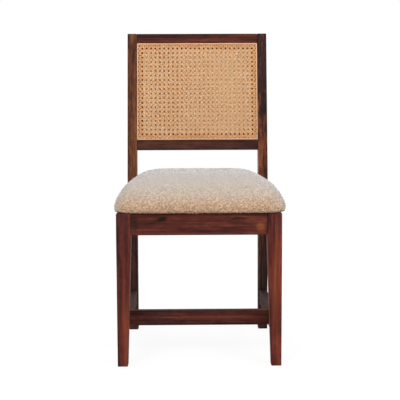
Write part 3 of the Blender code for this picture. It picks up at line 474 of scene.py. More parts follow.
def cane_finish():
    material, tree, shader, place = new_material("cane_strands", 0.42)
    number = put(tree, "ShaderNodeAttribute", attribute_name="strand").outputs["Fac"]
    chance = put(tree, "ShaderNodeTexWhiteNoise", {"W": number}, noise_dimensions="1D").outputs["Value"]
    patches = noise(tree, place, (16.0, 16.0, 16.0), 3.0)
    specks = noise(tree, place, (420.0, 420.0, 420.0), 3.0, 0.65)
    depth = calc(tree, "MULTIPLY_ADD", chance, 0.45, calc(tree, "MULTIPLY", patches, 0.55))
    colour = colour_ramp(tree, depth, ((0.15, CANE_DARK), (0.70, CANE_LIGHT)))
    across_strand = put(tree, "ShaderNodeAttribute", attribute_name="across_strand").outputs["Fac"]
    lines = put(tree, "ShaderNodeTexNoise", {
        "W": calc(tree, "MULTIPLY_ADD", across_strand, 3600.0, calc(tree, "MULTIPLY", number, 13.7)),
        "Scale": 1.0, "Detail": 2.0, "Roughness": 0.7,
    }, noise_dimensions="1D").outputs["Fac"]
    lines = put(tree, "ShaderNodeMapRange", {"Value": lines, "From Min": 0.36, "From Max": 0.66}).outputs[0]
    grain = calc(tree, "MULTIPLY_ADD", lines, 0.65, calc(tree, "MULTIPLY", specks, 0.35))
    colour = blend_colours(tree, grain, colour, CANE_FIBRE, "MULTIPLY")
    # Near the panel's edge the strands are painted darker and more orange, and their edges and the faces seen through
    # the holes there turn brown: painted shade from the splines and battens behind.
    to_edge = put(tree, "ShaderNodeAttribute", attribute_name="to_edge").outputs["Fac"]
    rim = put(tree, "ShaderNodeMapRange", {"Value": to_edge, "From Min": 0.017, "From Max": 0.011}).outputs[0]
    colour = blend_colours(tree, rim, colour, CANE_RIM, "MULTIPLY")
    at_strand_edge = put(tree, "ShaderNodeMapRange", {
        "Value": calc(tree, "ABSOLUTE", across_strand), "From Min": 0.0010, "From Max": 0.0019,
    }).outputs[0]
    # Left of the middle a zone is painted in shade too: the strand edges and the faces seen through the holes there are
    # browned, a painted shade.
    across = put(tree, "ShaderNodeSeparateXYZ", {0: place}).outputs[0]
    from_painted_shade_zone = calc(tree, "ABSOLUTE", calc(tree, "ADD", across, 0.105))
    from_painted_shade_zone = calc(tree, "MULTIPLY_ADD", calc(tree, "SUBTRACT", patches, 0.5), 0.08, from_painted_shade_zone)
    painted_shade_zone = put(tree, "ShaderNodeMapRange", {"Value": from_painted_shade_zone, "From Min": 0.065, "From Max": 0.020},
                  interpolation_type="SMOOTHSTEP").outputs[0]
    painted_shade_edges = calc(tree, "MULTIPLY", at_strand_edge, calc(tree, "MAXIMUM", calc(tree, "MULTIPLY", painted_shade_zone, 0.35), rim))
    colour = blend_colours(tree, painted_shade_edges, colour, CANE_EDGE, "MULTIPLY")
    inner = blend_colours(tree, calc(tree, "MAXIMUM", calc(tree, "MULTIPLY", painted_shade_zone, 0.7), rim), CANE_PITH,
                          CANE_BROWN)
    pith = put(tree, "ShaderNodeAttribute", attribute_name="pith").outputs["Fac"]
    colour = blend_colours(tree, calc(tree, "MULTIPLY", pith, 0.85), colour, inner)
    tree.links.new(colour, shader.inputs["Base Color"])
    tree.links.new(calc(tree, "MULTIPLY_ADD", specks, 0.30, 0.30), shader.inputs["Roughness"])
    shader.inputs["Specular IOR Level"].default_value = 0.30
    shader.inputs["Subsurface Weight"].default_value = 1.0
    shader.inputs["Subsurface Radius"].default_value = (0.80, 0.90, 1.0)
    shader.inputs["Subsurface Scale"].default_value = 0.0018
    bump(tree, shader, grain, 0.00008)
    return material


weave = six_way_weave()
cane = cane_finish()
for face, sizes, facing, depth in (
    ("front", WEAVE, FACES_FRONT, PANEL_REVEAL + 0.00035),
    ("back", BACK_WEAVE, FACES_BACK, PANEL_REVEAL + PANEL_THICKNESS - 0.00035),
):
    woven = run_tree(weave, "woven_cane_" + face, sizes, cane)
    lean = Matrix.Rotation(-RAKE_ANGLE, 4, "X")
    stand = Matrix.Translation((0.0, LEG_SPACING - CHAIR_MIDDLE, BEND_HEIGHT)) @ lean
    woven.data.transform(stand @ Matrix.Translation((0.0, depth, PANEL_CENTRE)) @ facing)
    faces_out(woven.data)
    woven.data.shade_smooth()
    woven.data.set_sharp_from_angle(angle=math.radians(35))
    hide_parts("cane_" + face)
    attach(woven, "root")

# Reed splines: a round reed hammered and glued into the groove on top of the cane's edge, on all
# four sides of both faces. It is the same honey colour, a little paler, with fibres along it.
REED_LIGHT = (0.745, 0.430, 0.250)
REED_DARK = (0.600, 0.325, 0.170)


def reed_finish(name, grain_turn):
    material, tree, shader, place = new_material(name, 0.45)
    grain = put(tree, "ShaderNodeMapping", {"Vector": place, "Rotation": grain_turn}).outputs[0]
    fibres = noise(tree, grain, (1500.0, 1500.0, 30.0), 3.0)
    patches = noise(tree, grain, (30.0, 30.0, 8.0), 2.0)
    depth = calc(tree, "MULTIPLY_ADD", fibres, 0.5, calc(tree, "MULTIPLY", patches, 0.5))
    tree.links.new(colour_ramp(tree, depth, ((0.30, REED_DARK), (0.62, REED_LIGHT))), shader.inputs["Base Color"])
    tree.links.new(calc(tree, "MULTIPLY_ADD", fibres, 0.25, 0.32), shader.inputs["Roughness"])
    bump(tree, shader, fibres, 0.00010)
    return material


level_reed = reed_finish("level_reed", GRAIN_ACROSS)
upright_reed = reed_finish("upright_reed", GRAIN_UP)
for face in ("front", "back"):
    for edge in ("top", "bottom"):
        finish_node("cane_spline_" + face + "_" + edge, level_reed)
    for edge in ("left", "right"):
        finish_node("cane_spline_" + face + "_" + edge, upright_reed)

# Seat pad: a foam block on a plywood board under one loose cover of looped bouclé cloth, drawn
# round the board's edge and stapled. It has no piping, and it is notched round the back legs.
SEAT_FRAME_TOP = 0.423
PAD_HALF_WIDTH = 0.2375
PAD_HALF_DEPTH = 0.22825
PAD_MIDDLE = PAD_HALF_DEPTH - 0.0125 - CHAIR_MIDDLE
PAD_BOTTOM = SEAT_FRAME_TOP + 0.0006
PAD_WIDEST = SEAT_FRAME_TOP + 0.013
PAD_TOP = SEAT_FRAME_TOP + 0.111
PAD_PLAN_POWER = 8.7
PAD_CROWN_POWER = 5.4
PAD_RISE_POWER = 1.6
PAD_SWELL = 0.004
PAD_SWELL_TOP = 0.0085
PAD_SKEW = 0.0033
PAD_ROLL = 0.0032
FRAME_HALF_WIDTH = 0.2255
FRAME_FRONT = -CHAIR_MIDDLE - 0.0005
NOTCH_X = 0.1920
NOTCH_Y = LEG_SPACING - CHAIR_MIDDLE - 0.003
OUTLINE_STEPS = 120
CROWN_STEPS = 22
HEM_INSET = 0.0375
DUST_LEVEL = SEAT_FRAME_TOP + 0.0028
PILE = {
    "Curl size": 0.0052,
    "Curl height": 0.0031,
    "Loops": 36000.0,
    "Loop size": 0.0018,
    "Yarn thickness": 0.00075,
    "Lowest pile": PAD_BOTTOM + 0.0002,
    "Side level": SEAT_FRAME_TOP + 0.018,
    "Top level": SEAT_FRAME_TOP + 0.080,
}
# The pile is coloured by height, warm tan low down and greyer on the top: the greyer top is a painted sheen.
PILE_COLOURS = (
    (0.000, (0.640, 0.430, 0.285)),
    (0.200, (0.655, 0.485, 0.345)),
    (0.500, (0.610, 0.500, 0.405)),
    (1.000, (0.518, 0.466, 0.420)),
)
PILE_SHADE = (0.62, 0.55, 0.48)
HEM_SHADE = (0.50, 0.38, 0.32)
WARM_LEVEL = SEAT_FRAME_TOP + 0.014
PALE_LEVEL = SEAT_FRAME_TOP + 0.085


def pad_ring(share, height, inset):
    """One level of the pad's outline, notched round the back legs."""
    half_width = (PAD_HALF_WIDTH - inset) * share
    half_depth = (PAD_HALF_DEPTH - inset) * share
    notch_x = NOTCH_X - inset
    notch_y = NOTCH_Y - inset - PAD_MIDDLE
    ring = []
    for step in range(OUTLINE_STEPS):
        angle = 2 * math.pi * step / OUTLINE_STEPS
        across = abs(math.cos(angle) / half_width) ** PAD_PLAN_POWER
        along = abs(math.sin(angle) / half_depth) ** PAD_PLAN_POWER
        radius = (across + along) ** (-1 / PAD_PLAN_POWER)
        into_notch = min(abs(math.cos(angle)) / notch_x, math.sin(angle) / notch_y)
        if into_notch * radius > 1:
            radius = 1 / into_notch
        ring.append((radius * math.cos(angle), PAD_MIDDLE + radius * math.sin(angle), height))
    return ring


def inside_hem(point):
    """Whether a point of the underside is within the hem, where only the dust sheet covers the board."""
    across = abs(point.x) / (PAD_HALF_WIDTH - HEM_INSET)
    along = abs(point.y - PAD_MIDDLE) / (PAD_HALF_DEPTH - HEM_INSET)
    in_notch = abs(point.x) > NOTCH_X - HEM_INSET and point.y > NOTCH_Y - HEM_INSET
    return across ** PAD_PLAN_POWER + along ** PAD_PLAN_POWER < 1 and not in_notch


def clear_of_legs(point):
    """Move a point that has swollen into a back leg's notch to the notch's nearer side."""
    past_x, past_y = abs(point.x) - NOTCH_X, point.y - NOTCH_Y
    if past_x > 0 and past_y > 0:
        if past_x < past_y:
            point.x = math.copysign(NOTCH_X, point.x)
        else:
            point.y = NOTCH_Y


def closed_form(rings, bottom, top):
    """A closed solid through the rings, with a point in the middle of each end."""
    bm = bmesh.new()
    loops = [[bm.verts.new(point) for point in ring] for ring in rings]
    for low, high in zip(loops, loops[1:]):
        for here in range(len(low)):
            after = (here + 1) % len(low)
            bm.faces.new((low[here], low[after], high[after], high[here]))
    for loop, point in ((loops[0], bottom), (loops[-1], top)):
        middle = bm.verts.new(point)
        for here in range(len(loop)):
            bm.faces.new((loop[here], loop[(here + 1) % len(loop)], middle))
    bmesh.ops.recalc_face_normals(bm, faces=bm.faces)
    mesh = bpy.data.meshes.new("pad_form")
    bm.to_mesh(mesh)
    bm.free()
    return mesh


def settle(piece, kind, **settings):
    """Put a modifier on a piece, take its result as the piece's mesh and remove it."""
    modifier = piece.modifiers.new(kind.lower(), kind)
    for name, value in settings.items():
        setattr(modifier, name, value)
    depsgraph = bpy.context.evaluated_depsgraph_get()
    mesh = bpy.data.meshes.new_from_object(piece.evaluated_get(depsgraph), depsgraph=depsgraph)
    piece.modifiers.clear()
    piece.data = mesh


def swell(piece, pressure, cap):
    """Blow the cover up a little as cloth; its flat underside stays on the board."""
    start = [vert.co.copy() for vert in piece.data.vertices]
    held = piece.vertex_groups.new(name="on_the_board")
    held.add([index for index, point in enumerate(start) if point.z < PAD_BOTTOM + 0.002], 1.0, "REPLACE")
    cloth = piece.modifiers.new("cloth", "CLOTH")
    cloth.settings.use_pressure = True
    cloth.settings.uniform_pressure_force = pressure
    cloth.settings.effector_weights.gravity = 0.0
    cloth.settings.vertex_group_mass = held.name
    cloth.collision_settings.use_collision = False
    cloth.point_cache.frame_start = 1
    cloth.point_cache.frame_end = 20
    for step in range(1, 21):
        bpy.context.scene.frame_set(step)
    depsgraph = bpy.context.evaluated_depsgraph_get()
    swollen = bpy.data.meshes.new_from_object(piece.evaluated_get(depsgraph), depsgraph=depsgraph)
    bpy.context.scene.frame_set(1)
    piece.modifiers.clear()
    piece.vertex_groups.clear()
    for vert, point in zip(swollen.vertices, start):
        move = vert.co - point
        if move.length > cap:
            vert.co = point + move * (cap / move.length)
    piece.data = swollen


def boucle_pile():
    """Curls pushed out of the cover's surface, and loops of yarn scattered on it."""
    tree, size = new_tree("boucle_pile", PILE)
    place = put(tree, "GeometryNodeInputPosition").outputs[0]
    normal = put(tree, "GeometryNodeInputNormal").outputs[0]
    height = put(tree, "ShaderNodeSeparateXYZ", {0: place}).outputs[2]
    above = calc(tree, "SUBTRACT", height, size["Lowest pile"])
    faces_down = calc(tree, "LESS_THAN", put(tree, "ShaderNodeSeparateXYZ", {0: normal}).outputs[2], -0.95)
    above = calc(tree, "SUBTRACT", above, faces_down)
    shown = put(tree, "ShaderNodeMapRange", {"Value": above, "From Min": 0.0, "From Max": 0.002}).outputs[0]
    frequency = calc(tree, "DIVIDE", 1.0, size["Curl size"])
    warp = put(tree, "ShaderNodeTexNoise", {"Vector": place, "Scale": 260.0, "Detail": 2.0}).outputs["Color"]
    warped = put(tree, "ShaderNodeVectorMath", {0: warp, 1: (0.0040, 0.0040, 0.0040), 2: place},
                 operation="MULTIPLY_ADD").outputs[0]
    cells = put(tree, "ShaderNodeTexVoronoi", {"Vector": warped, "Scale": frequency}).outputs["Distance"]
    dome = calc(tree, "SUBTRACT", 1.0, calc(tree, "MULTIPLY", calc(tree, "MULTIPLY", cells, cells), 2.2))
    dome = calc(tree, "MAXIMUM", dome, 0.0)
    on_top = put(tree, "ShaderNodeMapRange", {
        "Value": height, "From Min": size["Side level"], "From Max": size["Top level"],
    }).outputs[0]
    deep = calc(tree, "MULTIPLY_ADD", on_top, -0.72, 1.0)
    curls = calc(tree, "MULTIPLY", calc(tree, "SUBTRACT", dome, 0.4), calc(tree, "MULTIPLY", size["Curl height"], deep))
    offset = put(tree, "ShaderNodeVectorMath", {0: normal, "Scale": calc(tree, "MULTIPLY", curls, shown)},
                 operation="SCALE").outputs[0]
    labelled = put(tree, "GeometryNodeStoreNamedAttribute", {"Geometry": size["Geometry"], "Name": "nub", "Value": dome},
                   data_type="FLOAT", domain="POINT").outputs[0]
    curled = put(tree, "GeometryNodeSetPosition", {"Geometry": labelled, "Offset": offset}).outputs[0]
    density = calc(tree, "MULTIPLY", size["Loops"], calc(tree, "MULTIPLY_ADD", on_top, -0.72, 1.0))
    scattered = put(tree, "GeometryNodeDistributePointsOnFaces", {
        "Mesh": curled, "Selection": calc(tree, "GREATER_THAN", above, 0.0), "Density": density, "Seed": 7,
    })
    loop = put(tree, "GeometryNodeCurveArc", {"Resolution": 5, "Radius": size["Loop size"],
                                              "Start Angle": 0.0, "Sweep Angle": math.radians(250)}).outputs[0]
    section = put(tree, "GeometryNodeCurvePrimitiveCircle",
                  {"Resolution": 4, "Radius": size["Yarn thickness"]}).outputs[0]
    yarn = put(tree, "GeometryNodeCurveToMesh",
               {"Curve": loop, "Profile Curve": section, "Fill Caps": True}).outputs[0]
    yarn = put(tree, "GeometryNodeStoreNamedAttribute", {"Geometry": yarn, "Name": "nub", "Value": 0.85},
               data_type="FLOAT", domain="POINT").outputs[0]
    spin = put(tree, "FunctionNodeRandomValue", {0: (-0.8, -0.8, 0.0), 1: (0.8, 0.8, 6.28), "Seed": 3},
               data_type="FLOAT_VECTOR").outputs[0]
    lying = put(tree, "ShaderNodeCombineXYZ", {0: deep, 1: deep, 2: 1.0}).outputs[0]
    spin = put(tree, "ShaderNodeVectorMath", {0: spin, 1: lying}, operation="MULTIPLY").outputs[0]
    scale = put(tree, "FunctionNodeRandomValue", {2: 0.65, 3: 1.15, "Seed": 5}, data_type="FLOAT").outputs[1]
    turned = put(tree, "FunctionNodeRotateRotation", {
        0: scattered.outputs["Rotation"],
        1: put(tree, "FunctionNodeEulerToRotation", {0: spin}).outputs[0],
    }, rotation_space="LOCAL").outputs[0]
    loops = put(tree, "GeometryNodeInstanceOnPoints", {
        "Points": scattered.outputs["Points"], "Instance": yarn, "Rotation": turned, "Scale": scale,
    }).outputs[0]
    joined = tree.nodes.new("GeometryNodeJoinGeometry")
    tree.links.new(curled, joined.inputs[0])
    tree.links.new(loops, joined.inputs[0])
    end_tree(tree, size, joined.outputs[0])
    return tree


def boucle_finish():
    material, tree, shader, place = new_material("cream_boucle", 0.95)
    nub = put(tree, "ShaderNodeAttribute", attribute_name="nub").outputs["Fac"]
    fuzz = noise(tree, place, (900.0, 900.0, 900.0), 3.0, 0.6)
    patches = noise(tree, place, (28.0, 28.0, 28.0), 3.0)
    across, height = [put(tree, "ShaderNodeSeparateXYZ", {0: place}).outputs[axis] for axis in (0, 2)]
    # Colour by height: the greyer top is a painted sheen.
    level = put(tree, "ShaderNodeMapRange", {
        "Value": height, "From Min": WARM_LEVEL, "From Max": PALE_LEVEL,
    }).outputs[0]
    # Towards each end the pile is painted paler and greyer: a painted sheen where the cloth turns sideways.
    painted_sheen_at_end = put(tree, "ShaderNodeMapRange", {
        "Value": calc(tree, "ABSOLUTE", across), "From Min": 0.190, "From Max": PAD_HALF_WIDTH, "To Max": 0.32,
    }, interpolation_type="SMOOTHSTEP").outputs[0]
    level = calc(tree, "MINIMUM", calc(tree, "ADD", level, painted_sheen_at_end), 1.0)
    colour = colour_ramp(tree, level, PILE_COLOURS)
    depth = calc(tree, "MULTIPLY_ADD", nub, -1.0, calc(tree, "MULTIPLY_ADD", patches, -0.4, 1.2))
    shaded = calc(tree, "MULTIPLY", depth, calc(tree, "MULTIPLY_ADD", level, -0.7, 1.0))
    colour = blend_colours(tree, shaded, colour, PILE_SHADE, "MULTIPLY")
    at_hem = put(tree, "ShaderNodeMapRange", {
        "Value": height, "From Min": PAD_BOTTOM + 0.0065, "From Max": PAD_BOTTOM + 0.0010,
    }).outputs[0]
    colour = blend_colours(tree, at_hem, colour, HEM_SHADE, "MULTIPLY")
    tree.links.new(colour, shader.inputs["Base Color"])
    shader.inputs["Specular IOR Level"].default_value = 0.1
    shader.inputs["Sheen Weight"].default_value = 1.0
    shader.inputs["Sheen Roughness"].default_value = 0.45
    shader.inputs["Sheen Tint"].default_value = (0.90, 0.95, 1.0, 1.0)
    bump(tree, shader, fuzz, 0.0005)
    return material


levels = [pad_ring(1.0, PAD_BOTTOM, 0.0050), pad_ring(1.0, PAD_BOTTOM + 0.004, -0.0005)]
for step in range(CROWN_STEPS):
    turn = math.pi / 2 * step / CROWN_STEPS
    lift = math.sin(turn) ** (2 / PAD_RISE_POWER)
    level = PAD_WIDEST + (PAD_TOP - PAD_SWELL_TOP - PAD_WIDEST) * lift
    levels.append(pad_ring(math.cos(turn) ** (2 / PAD_CROWN_POWER), level, PAD_SWELL * lift - PAD_ROLL * (1 - lift) ** 3))
cushion = bpy.data.objects.new("seat_cushion", closed_form(
    levels, (0.0, PAD_MIDDLE, PAD_BOTTOM), (0.0, PAD_MIDDLE, PAD_TOP - PAD_SWELL_TOP)))
bpy.context.scene.collection.objects.link(cushion)
settle(cushion, "REMESH", mode="VOXEL", voxel_size=0.005)
swell(cushion, 4.0, PAD_SWELL)
settle(cushion, "SUBSURF", levels=2, render_levels=2)
for vert in cushion.data.vertices:
    if vert.co.z < PAD_BOTTOM + 0.002 and inside_hem(vert.co):
        vert.co.z = DUST_LEVEL + 0.0009
    front_share = 0.5 - (vert.co.y - PAD_MIDDLE) / (2 * PAD_HALF_DEPTH)
    vert.co.x += PAD_SKEW * min(max(front_share, 0.0), 1.0)
    clear_of_legs(vert.co)
pad_mesh = cushion.data
bpy.data.objects.remove(cushion)
cushion = run_tree(boucle_pile(), "seat_cushion", PILE, boucle_finish(), pad_mesh)
for vert in cushion.data.vertices:
    if abs(vert.co.x) < FRAME_HALF_WIDTH and vert.co.y > FRAME_FRONT:
        vert.co.z = max(vert.co.z, SEAT_FRAME_TOP + 0.0002)
cushion.data.shade_smooth()
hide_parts("seat_cover", "seat_foam")
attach(cushion, "root")

# Seat board: birch plywood inside the cover, and under it a thin black nonwoven sheet stretched
# over the turned-in hem to keep dust out. It sags a little between the four seat screws.
DUST_SAG = 0.0012
DUST_RINGS = 14


def plywood_finish():
    material, tree, shader, place = new_material("birch_plywood", 0.65)
    grain = noise(tree, place, (90.0, 6.0, 90.0), 4.0, 0.6, 0.8)
    plies = put(tree, "ShaderNodeTexWave", {"Vector": place, "Scale": 190.0, "Distortion": 0.4},
                bands_direction="Z").outputs["Fac"]
    depth = calc(tree, "MULTIPLY_ADD", plies, 0.25, calc(tree, "MULTIPLY", grain, 0.75))
    tree.links.new(colour_ramp(tree, depth, ((0.25, (0.42, 0.26, 0.13)), (0.70, (0.68, 0.50, 0.31)))),
                   shader.inputs["Base Color"])
    bump(tree, shader, grain, 0.0002)
    return material


def dust_finish():
    material, tree, shader, place = new_material("black_nonwoven", 0.92)
    fibres = noise(tree, place, (700.0, 700.0, 700.0), 4.0, 0.7, 1.5)
    tree.links.new(colour_ramp(tree, fibres, ((0.3, (0.008, 0.008, 0.009)), (0.7, (0.035, 0.035, 0.038)))),
                   shader.inputs["Base Color"])
    shader.inputs["Sheen Weight"].default_value = 0.2
    bump(tree, shader, fibres, 0.0002)
    return material


finish_node("seat_board", plywood_finish())
bm = bmesh.new()
outline = pad_ring(1.0, DUST_LEVEL, HEM_INSET + 0.0006)
loops = []
for step in range(DUST_RINGS):
    share = 1 - step / DUST_RINGS
    sag = DUST_SAG * (1 - share ** 4)
    loops.append([bm.verts.new((x * share, PAD_MIDDLE + (y - PAD_MIDDLE) * share, DUST_LEVEL - sag))
                  for x, y, z in outline])
for wide, narrow in zip(loops, loops[1:]):
    for here in range(OUTLINE_STEPS):
        after = (here + 1) % OUTLINE_STEPS
        bm.faces.new((wide[here], wide[after], narrow[after], narrow[here]))
middle = bm.verts.new((0.0, PAD_MIDDLE, DUST_LEVEL - DUST_SAG))
for here in range(OUTLINE_STEPS):
    bm.faces.new((loops[-1][here], loops[-1][(here + 1) % OUTLINE_STEPS], middle))
dust_area = sum(face.calc_area() for face in bm.faces)
dust_mesh = bpy.data.meshes.new("dust_sheet")
bm.to_mesh(dust_mesh)
bm.free()
dust_sheet = bpy.data.objects.new("dust_sheet", dust_mesh)
bpy.context.scene.collection.objects.link(dust_sheet)
settle(dust_sheet, "SOLIDIFY", thickness=0.0004, offset=0.0)
faces_out(dust_sheet.data)
dust_sheet.data.materials.append(dust_finish())
dust_sheet.data.shade_smooth()
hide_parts("dust_cover")
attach(dust_sheet, "root")

# Corner blocks: sawn and unfinished hardwood, notched round the legs and screwed to the aprons.
# They stiffen the seat frame, and the seat pad is screwed down through them.


def sawn_wood_finish(name, diagonal):
    """Sawn wood with its grain level, along one of the seat's two diagonals."""
    material, tree, shader, place = new_material(name, 0.75)
    turned = put(tree, "ShaderNodeMapping", {"Vector": place, "Rotation": (0.0, 0.0, diagonal)}).outputs[0]
    grain = noise(tree, turned, (12.0, 160.0, 160.0), 4.0, 0.6, 0.6)
    saw = put(tree, "ShaderNodeTexWave", {"Vector": turned, "Scale": 240.0, "Distortion": 1.5}).outputs["Fac"]
    colour = colour_ramp(tree, grain, ((0.28, (0.33, 0.19, 0.095)), (0.70, (0.60, 0.41, 0.24))))
    tree.links.new(colour, shader.inputs["Base Color"])
    bump(tree, shader, calc(tree, "MULTIPLY_ADD", saw, 0.4, grain), 0.0003)
    return material


def zinc_finish():
    material, tree, shader, place = new_material("zinc_plate", 0.35)
    shader.inputs["Metallic"].default_value = 1.0
    spots = noise(tree, place, (900.0, 900.0, 900.0), 3.0)
    tree.links.new(colour_ramp(tree, spots, ((0.3, (0.50, 0.49, 0.46)), (0.7, (0.68, 0.68, 0.66)))),
                   shader.inputs["Base Color"])
    tree.links.new(calc(tree, "MULTIPLY_ADD", spots, 0.3, 0.2), shader.inputs["Roughness"])
    return material


corners = [end + "_" + side for end in ("front", "back") for side in ("left", "right")]
for corner in corners:
    diagonal = math.pi / 4 if corner in ("front_left", "back_right") else -math.pi / 4
    finish_node("corner_block_" + corner, sawn_wood_finish(corner + "_sawn_wood", diagonal))

# Screws: zinc plated wood screws with round heads and cross recesses. Two hold each corner block to
# the legs and aprons, and one runs up through it into the seat board.
SCREW = {
    "Length": 0.040,
    "Core radius": 0.0016,
    "Thread radius": 0.00036,
    "Thread pitch": 0.0020,
    "Tip length": 0.005,
    "Tip radius": 0.0004,
    "Head radius": 0.0042,
    "Head height": 0.0026,
    "Recess length": 0.0042,
    "Recess width": 0.00085,
    "Recess depth": 0.0013,
}


def wood_screw():
    """A screw on each point of the start, aimed along the point's own direction."""
    tree, size = new_tree("wood_screw", SCREW)

    def along(x=0.0, y=0.0, z=0.0):
        return put(tree, "ShaderNodeCombineXYZ", {0: x, 1: y, 2: z}).outputs[0]

    def moved(mesh, **moves):
        return put(tree, "GeometryNodeTransform", {"Geometry": mesh, **moves}).outputs[0]

    dome = put(tree, "GeometryNodeMeshUVSphere", {"Segments": 20, "Rings": 12, "Radius": size["Head radius"]}).outputs[0]
    flatness = calc(tree, "DIVIDE", size["Head height"], size["Head radius"])
    dome = moved(dome, Scale=along(1.0, 1.0, flatness))
    cuts = [moved(put(tree, "GeometryNodeMeshCube", {"Size": (0.02, 0.02, 0.02)}).outputs[0], Translation=(0, 0, 0.01))]
    depth = calc(tree, "MULTIPLY", size["Recess depth"], 2.0)
    low = along(z=calc(tree, "MULTIPLY", size["Head height"], -1.0))
    for bar_size in (along(size["Recess length"], size["Recess width"], depth),
                     along(size["Recess width"], size["Recess length"], depth)):
        cuts.append(moved(put(tree, "GeometryNodeMeshCube", {"Size": bar_size}).outputs[0], Translation=low))
    head = put(tree, "GeometryNodeMeshBoolean", {"Mesh 1": dome}, solver="MANIFOLD")
    for cut in cuts:
        tree.links.new(cut, head.inputs["Mesh 2"])
    shank = calc(tree, "SUBTRACT", size["Length"], size["Tip length"])
    core = put(tree, "GeometryNodeMeshCylinder", {"Vertices": 12, "Radius": size["Core radius"], "Depth": shank}).outputs[0]
    core = moved(core, Translation=along(z=calc(tree, "MULTIPLY", shank, 0.5)))
    tip = put(tree, "GeometryNodeMeshCone", {
        "Vertices": 12, "Radius Top": size["Tip radius"], "Radius Bottom": size["Core radius"],
        "Depth": size["Tip length"],
    }).outputs[0]
    tip = moved(tip, Translation=along(z=shank))
    spiral = put(tree, "GeometryNodeCurveSpiral", {
        "Resolution": 12, "Rotations": calc(tree, "DIVIDE", shank, size["Thread pitch"]),
        "Start Radius": size["Core radius"], "End Radius": size["Core radius"], "Height": shank,
    }).outputs[0]
    ridge = put(tree, "GeometryNodeCurvePrimitiveCircle",
                {"Resolution": 3, "Radius": size["Thread radius"]}).outputs[0]
    thread = put(tree, "GeometryNodeCurveToMesh",
                 {"Curve": spiral, "Profile Curve": ridge, "Fill Caps": True}).outputs[0]
    screw = tree.nodes.new("GeometryNodeJoinGeometry")
    for part in (head.outputs[0], core, tip, thread):
        tree.links.new(part, screw.inputs[0])
    aim = put(tree, "GeometryNodeInputNamedAttribute", {"Name": "aim"}, data_type="FLOAT_VECTOR").outputs[0]
    turn = put(tree, "FunctionNodeAlignRotationToVector", {"Vector": aim}, axis="Z").outputs[0]
    screws = put(tree, "GeometryNodeInstanceOnPoints", {
        "Points": size["Geometry"], "Instance": screw.outputs[0], "Rotation": turn,
    }).outputs[0]
    end_tree(tree, size, screws)
    return tree


def drive_screws(tree, name, places, aims, length, screw_nodes):
    """Make screws with their heads at these places, in place of the plain ones."""
    start = bpy.data.meshes.new(name + "_start")
    start.from_pydata(places, [], [])
    aim = start.attributes.new("aim", "FLOAT_VECTOR", "POINT")
    for index, direction in enumerate(aims):
        aim.data[index].vector = direction
    screws = run_tree(tree, name, dict(SCREW, Length=length), zinc, start)
    screws.data.set_sharp_from_angle(angle=math.radians(40))
    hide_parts(*screw_nodes)
    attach(screws, "root")


zinc = zinc_finish()
screw_tree = wood_screw()
block_nodes = ["block_screw_" + corner + "_" + hole for corner in corners for hole in ("end", "side")]
heads, aims = [], []
for screw in block_nodes:
    low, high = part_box(screw)
    middle = (low + high) / 2
    aim = Vector((math.copysign(1, middle.x), math.copysign(1, middle.y), 0.0)).normalized()
    tip = Vector((high.x if aim.x > 0 else low.x, high.y if aim.y > 0 else low.y, middle.z))
    heads.append(tip - aim * (SCREW["Length"] + SCREW["Tip radius"]))
    aims.append(aim)
drive_screws(screw_tree, "block_screws", heads, aims, SCREW["Length"], block_nodes)
seat_nodes = ["seat_screw_" + corner for corner in corners]
heads = []
for screw in seat_nodes:
    low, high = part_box(screw)
    heads.append(Vector(((low.x + high.x) / 2, (low.y + high.y) / 2, low.z + SCREW["Head height"])))
    seat_length = high.z - low.z - SCREW["Head height"]
drive_screws(screw_tree, "seat_screws", heads, [Vector((0.0, 0.0, 1.0))] * 4, seat_length, seat_nodes)

# Staples: flat galvanised wire driven through the edge of the dust sheet at even distances.
STAPLE = {
    "Spacing": 0.034,
    "Width": 0.0100,
    "Rise": 0.0005,
    "Wire radius": 0.00040,
}


def staple_row():
    """A staple at each step along the start's outline."""
    tree, size = new_tree("staple_row", STAPLE)
    outline = put(tree, "GeometryNodeMeshToCurve", {"Mesh": size["Geometry"]}).outputs[0]
    stops = put(tree, "GeometryNodeResampleCurve", {"Curve": outline, "Length": size["Spacing"]}, mode="LENGTH").outputs[0]
    half = calc(tree, "MULTIPLY", size["Width"], 0.5)
    ends = [put(tree, "ShaderNodeCombineXYZ", {0: calc(tree, "MULTIPLY", half, way), 2: calc(tree, "MULTIPLY", size["Rise"], lift)}).outputs[0]
            for way, lift in ((-1.0, 1.0), (-1.0, -0.3), (1.0, -0.3), (1.0, 1.0))]
    wire = put(tree, "GeometryNodeCurvePrimitiveBezierSegment", {
        "Resolution": 8, "Start": ends[0], "Start Handle": ends[1], "End Handle": ends[2], "End": ends[3],
    }).outputs[0]
    section = put(tree, "GeometryNodeCurvePrimitiveCircle", {"Resolution": 6, "Radius": size["Wire radius"]}).outputs[0]
    staple = put(tree, "GeometryNodeCurveToMesh", {"Curve": wire, "Profile Curve": section, "Fill Caps": True}).outputs[0]
    tangent = put(tree, "GeometryNodeInputTangent").outputs[0]
    turn = put(tree, "FunctionNodeAlignRotationToVector", {"Vector": tangent}, axis="X", pivot_axis="Z").outputs[0]
    staples = put(tree, "GeometryNodeInstanceOnPoints", {"Points": stops, "Instance": staple, "Rotation": turn}).outputs[0]
    end_tree(tree, size, staples)
    return tree


outline = pad_ring(1.0, DUST_LEVEL - 0.0010, HEM_INSET + 0.0080)
line = bpy.data.meshes.new("staple_line")
line.from_pydata(outline, [(index, (index + 1) % OUTLINE_STEPS) for index in range(OUTLINE_STEPS)], [])
staples = run_tree(staple_row(), "dust_sheet_staples", STAPLE, zinc, line)
staples.data.shade_smooth()
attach(staples, "root")

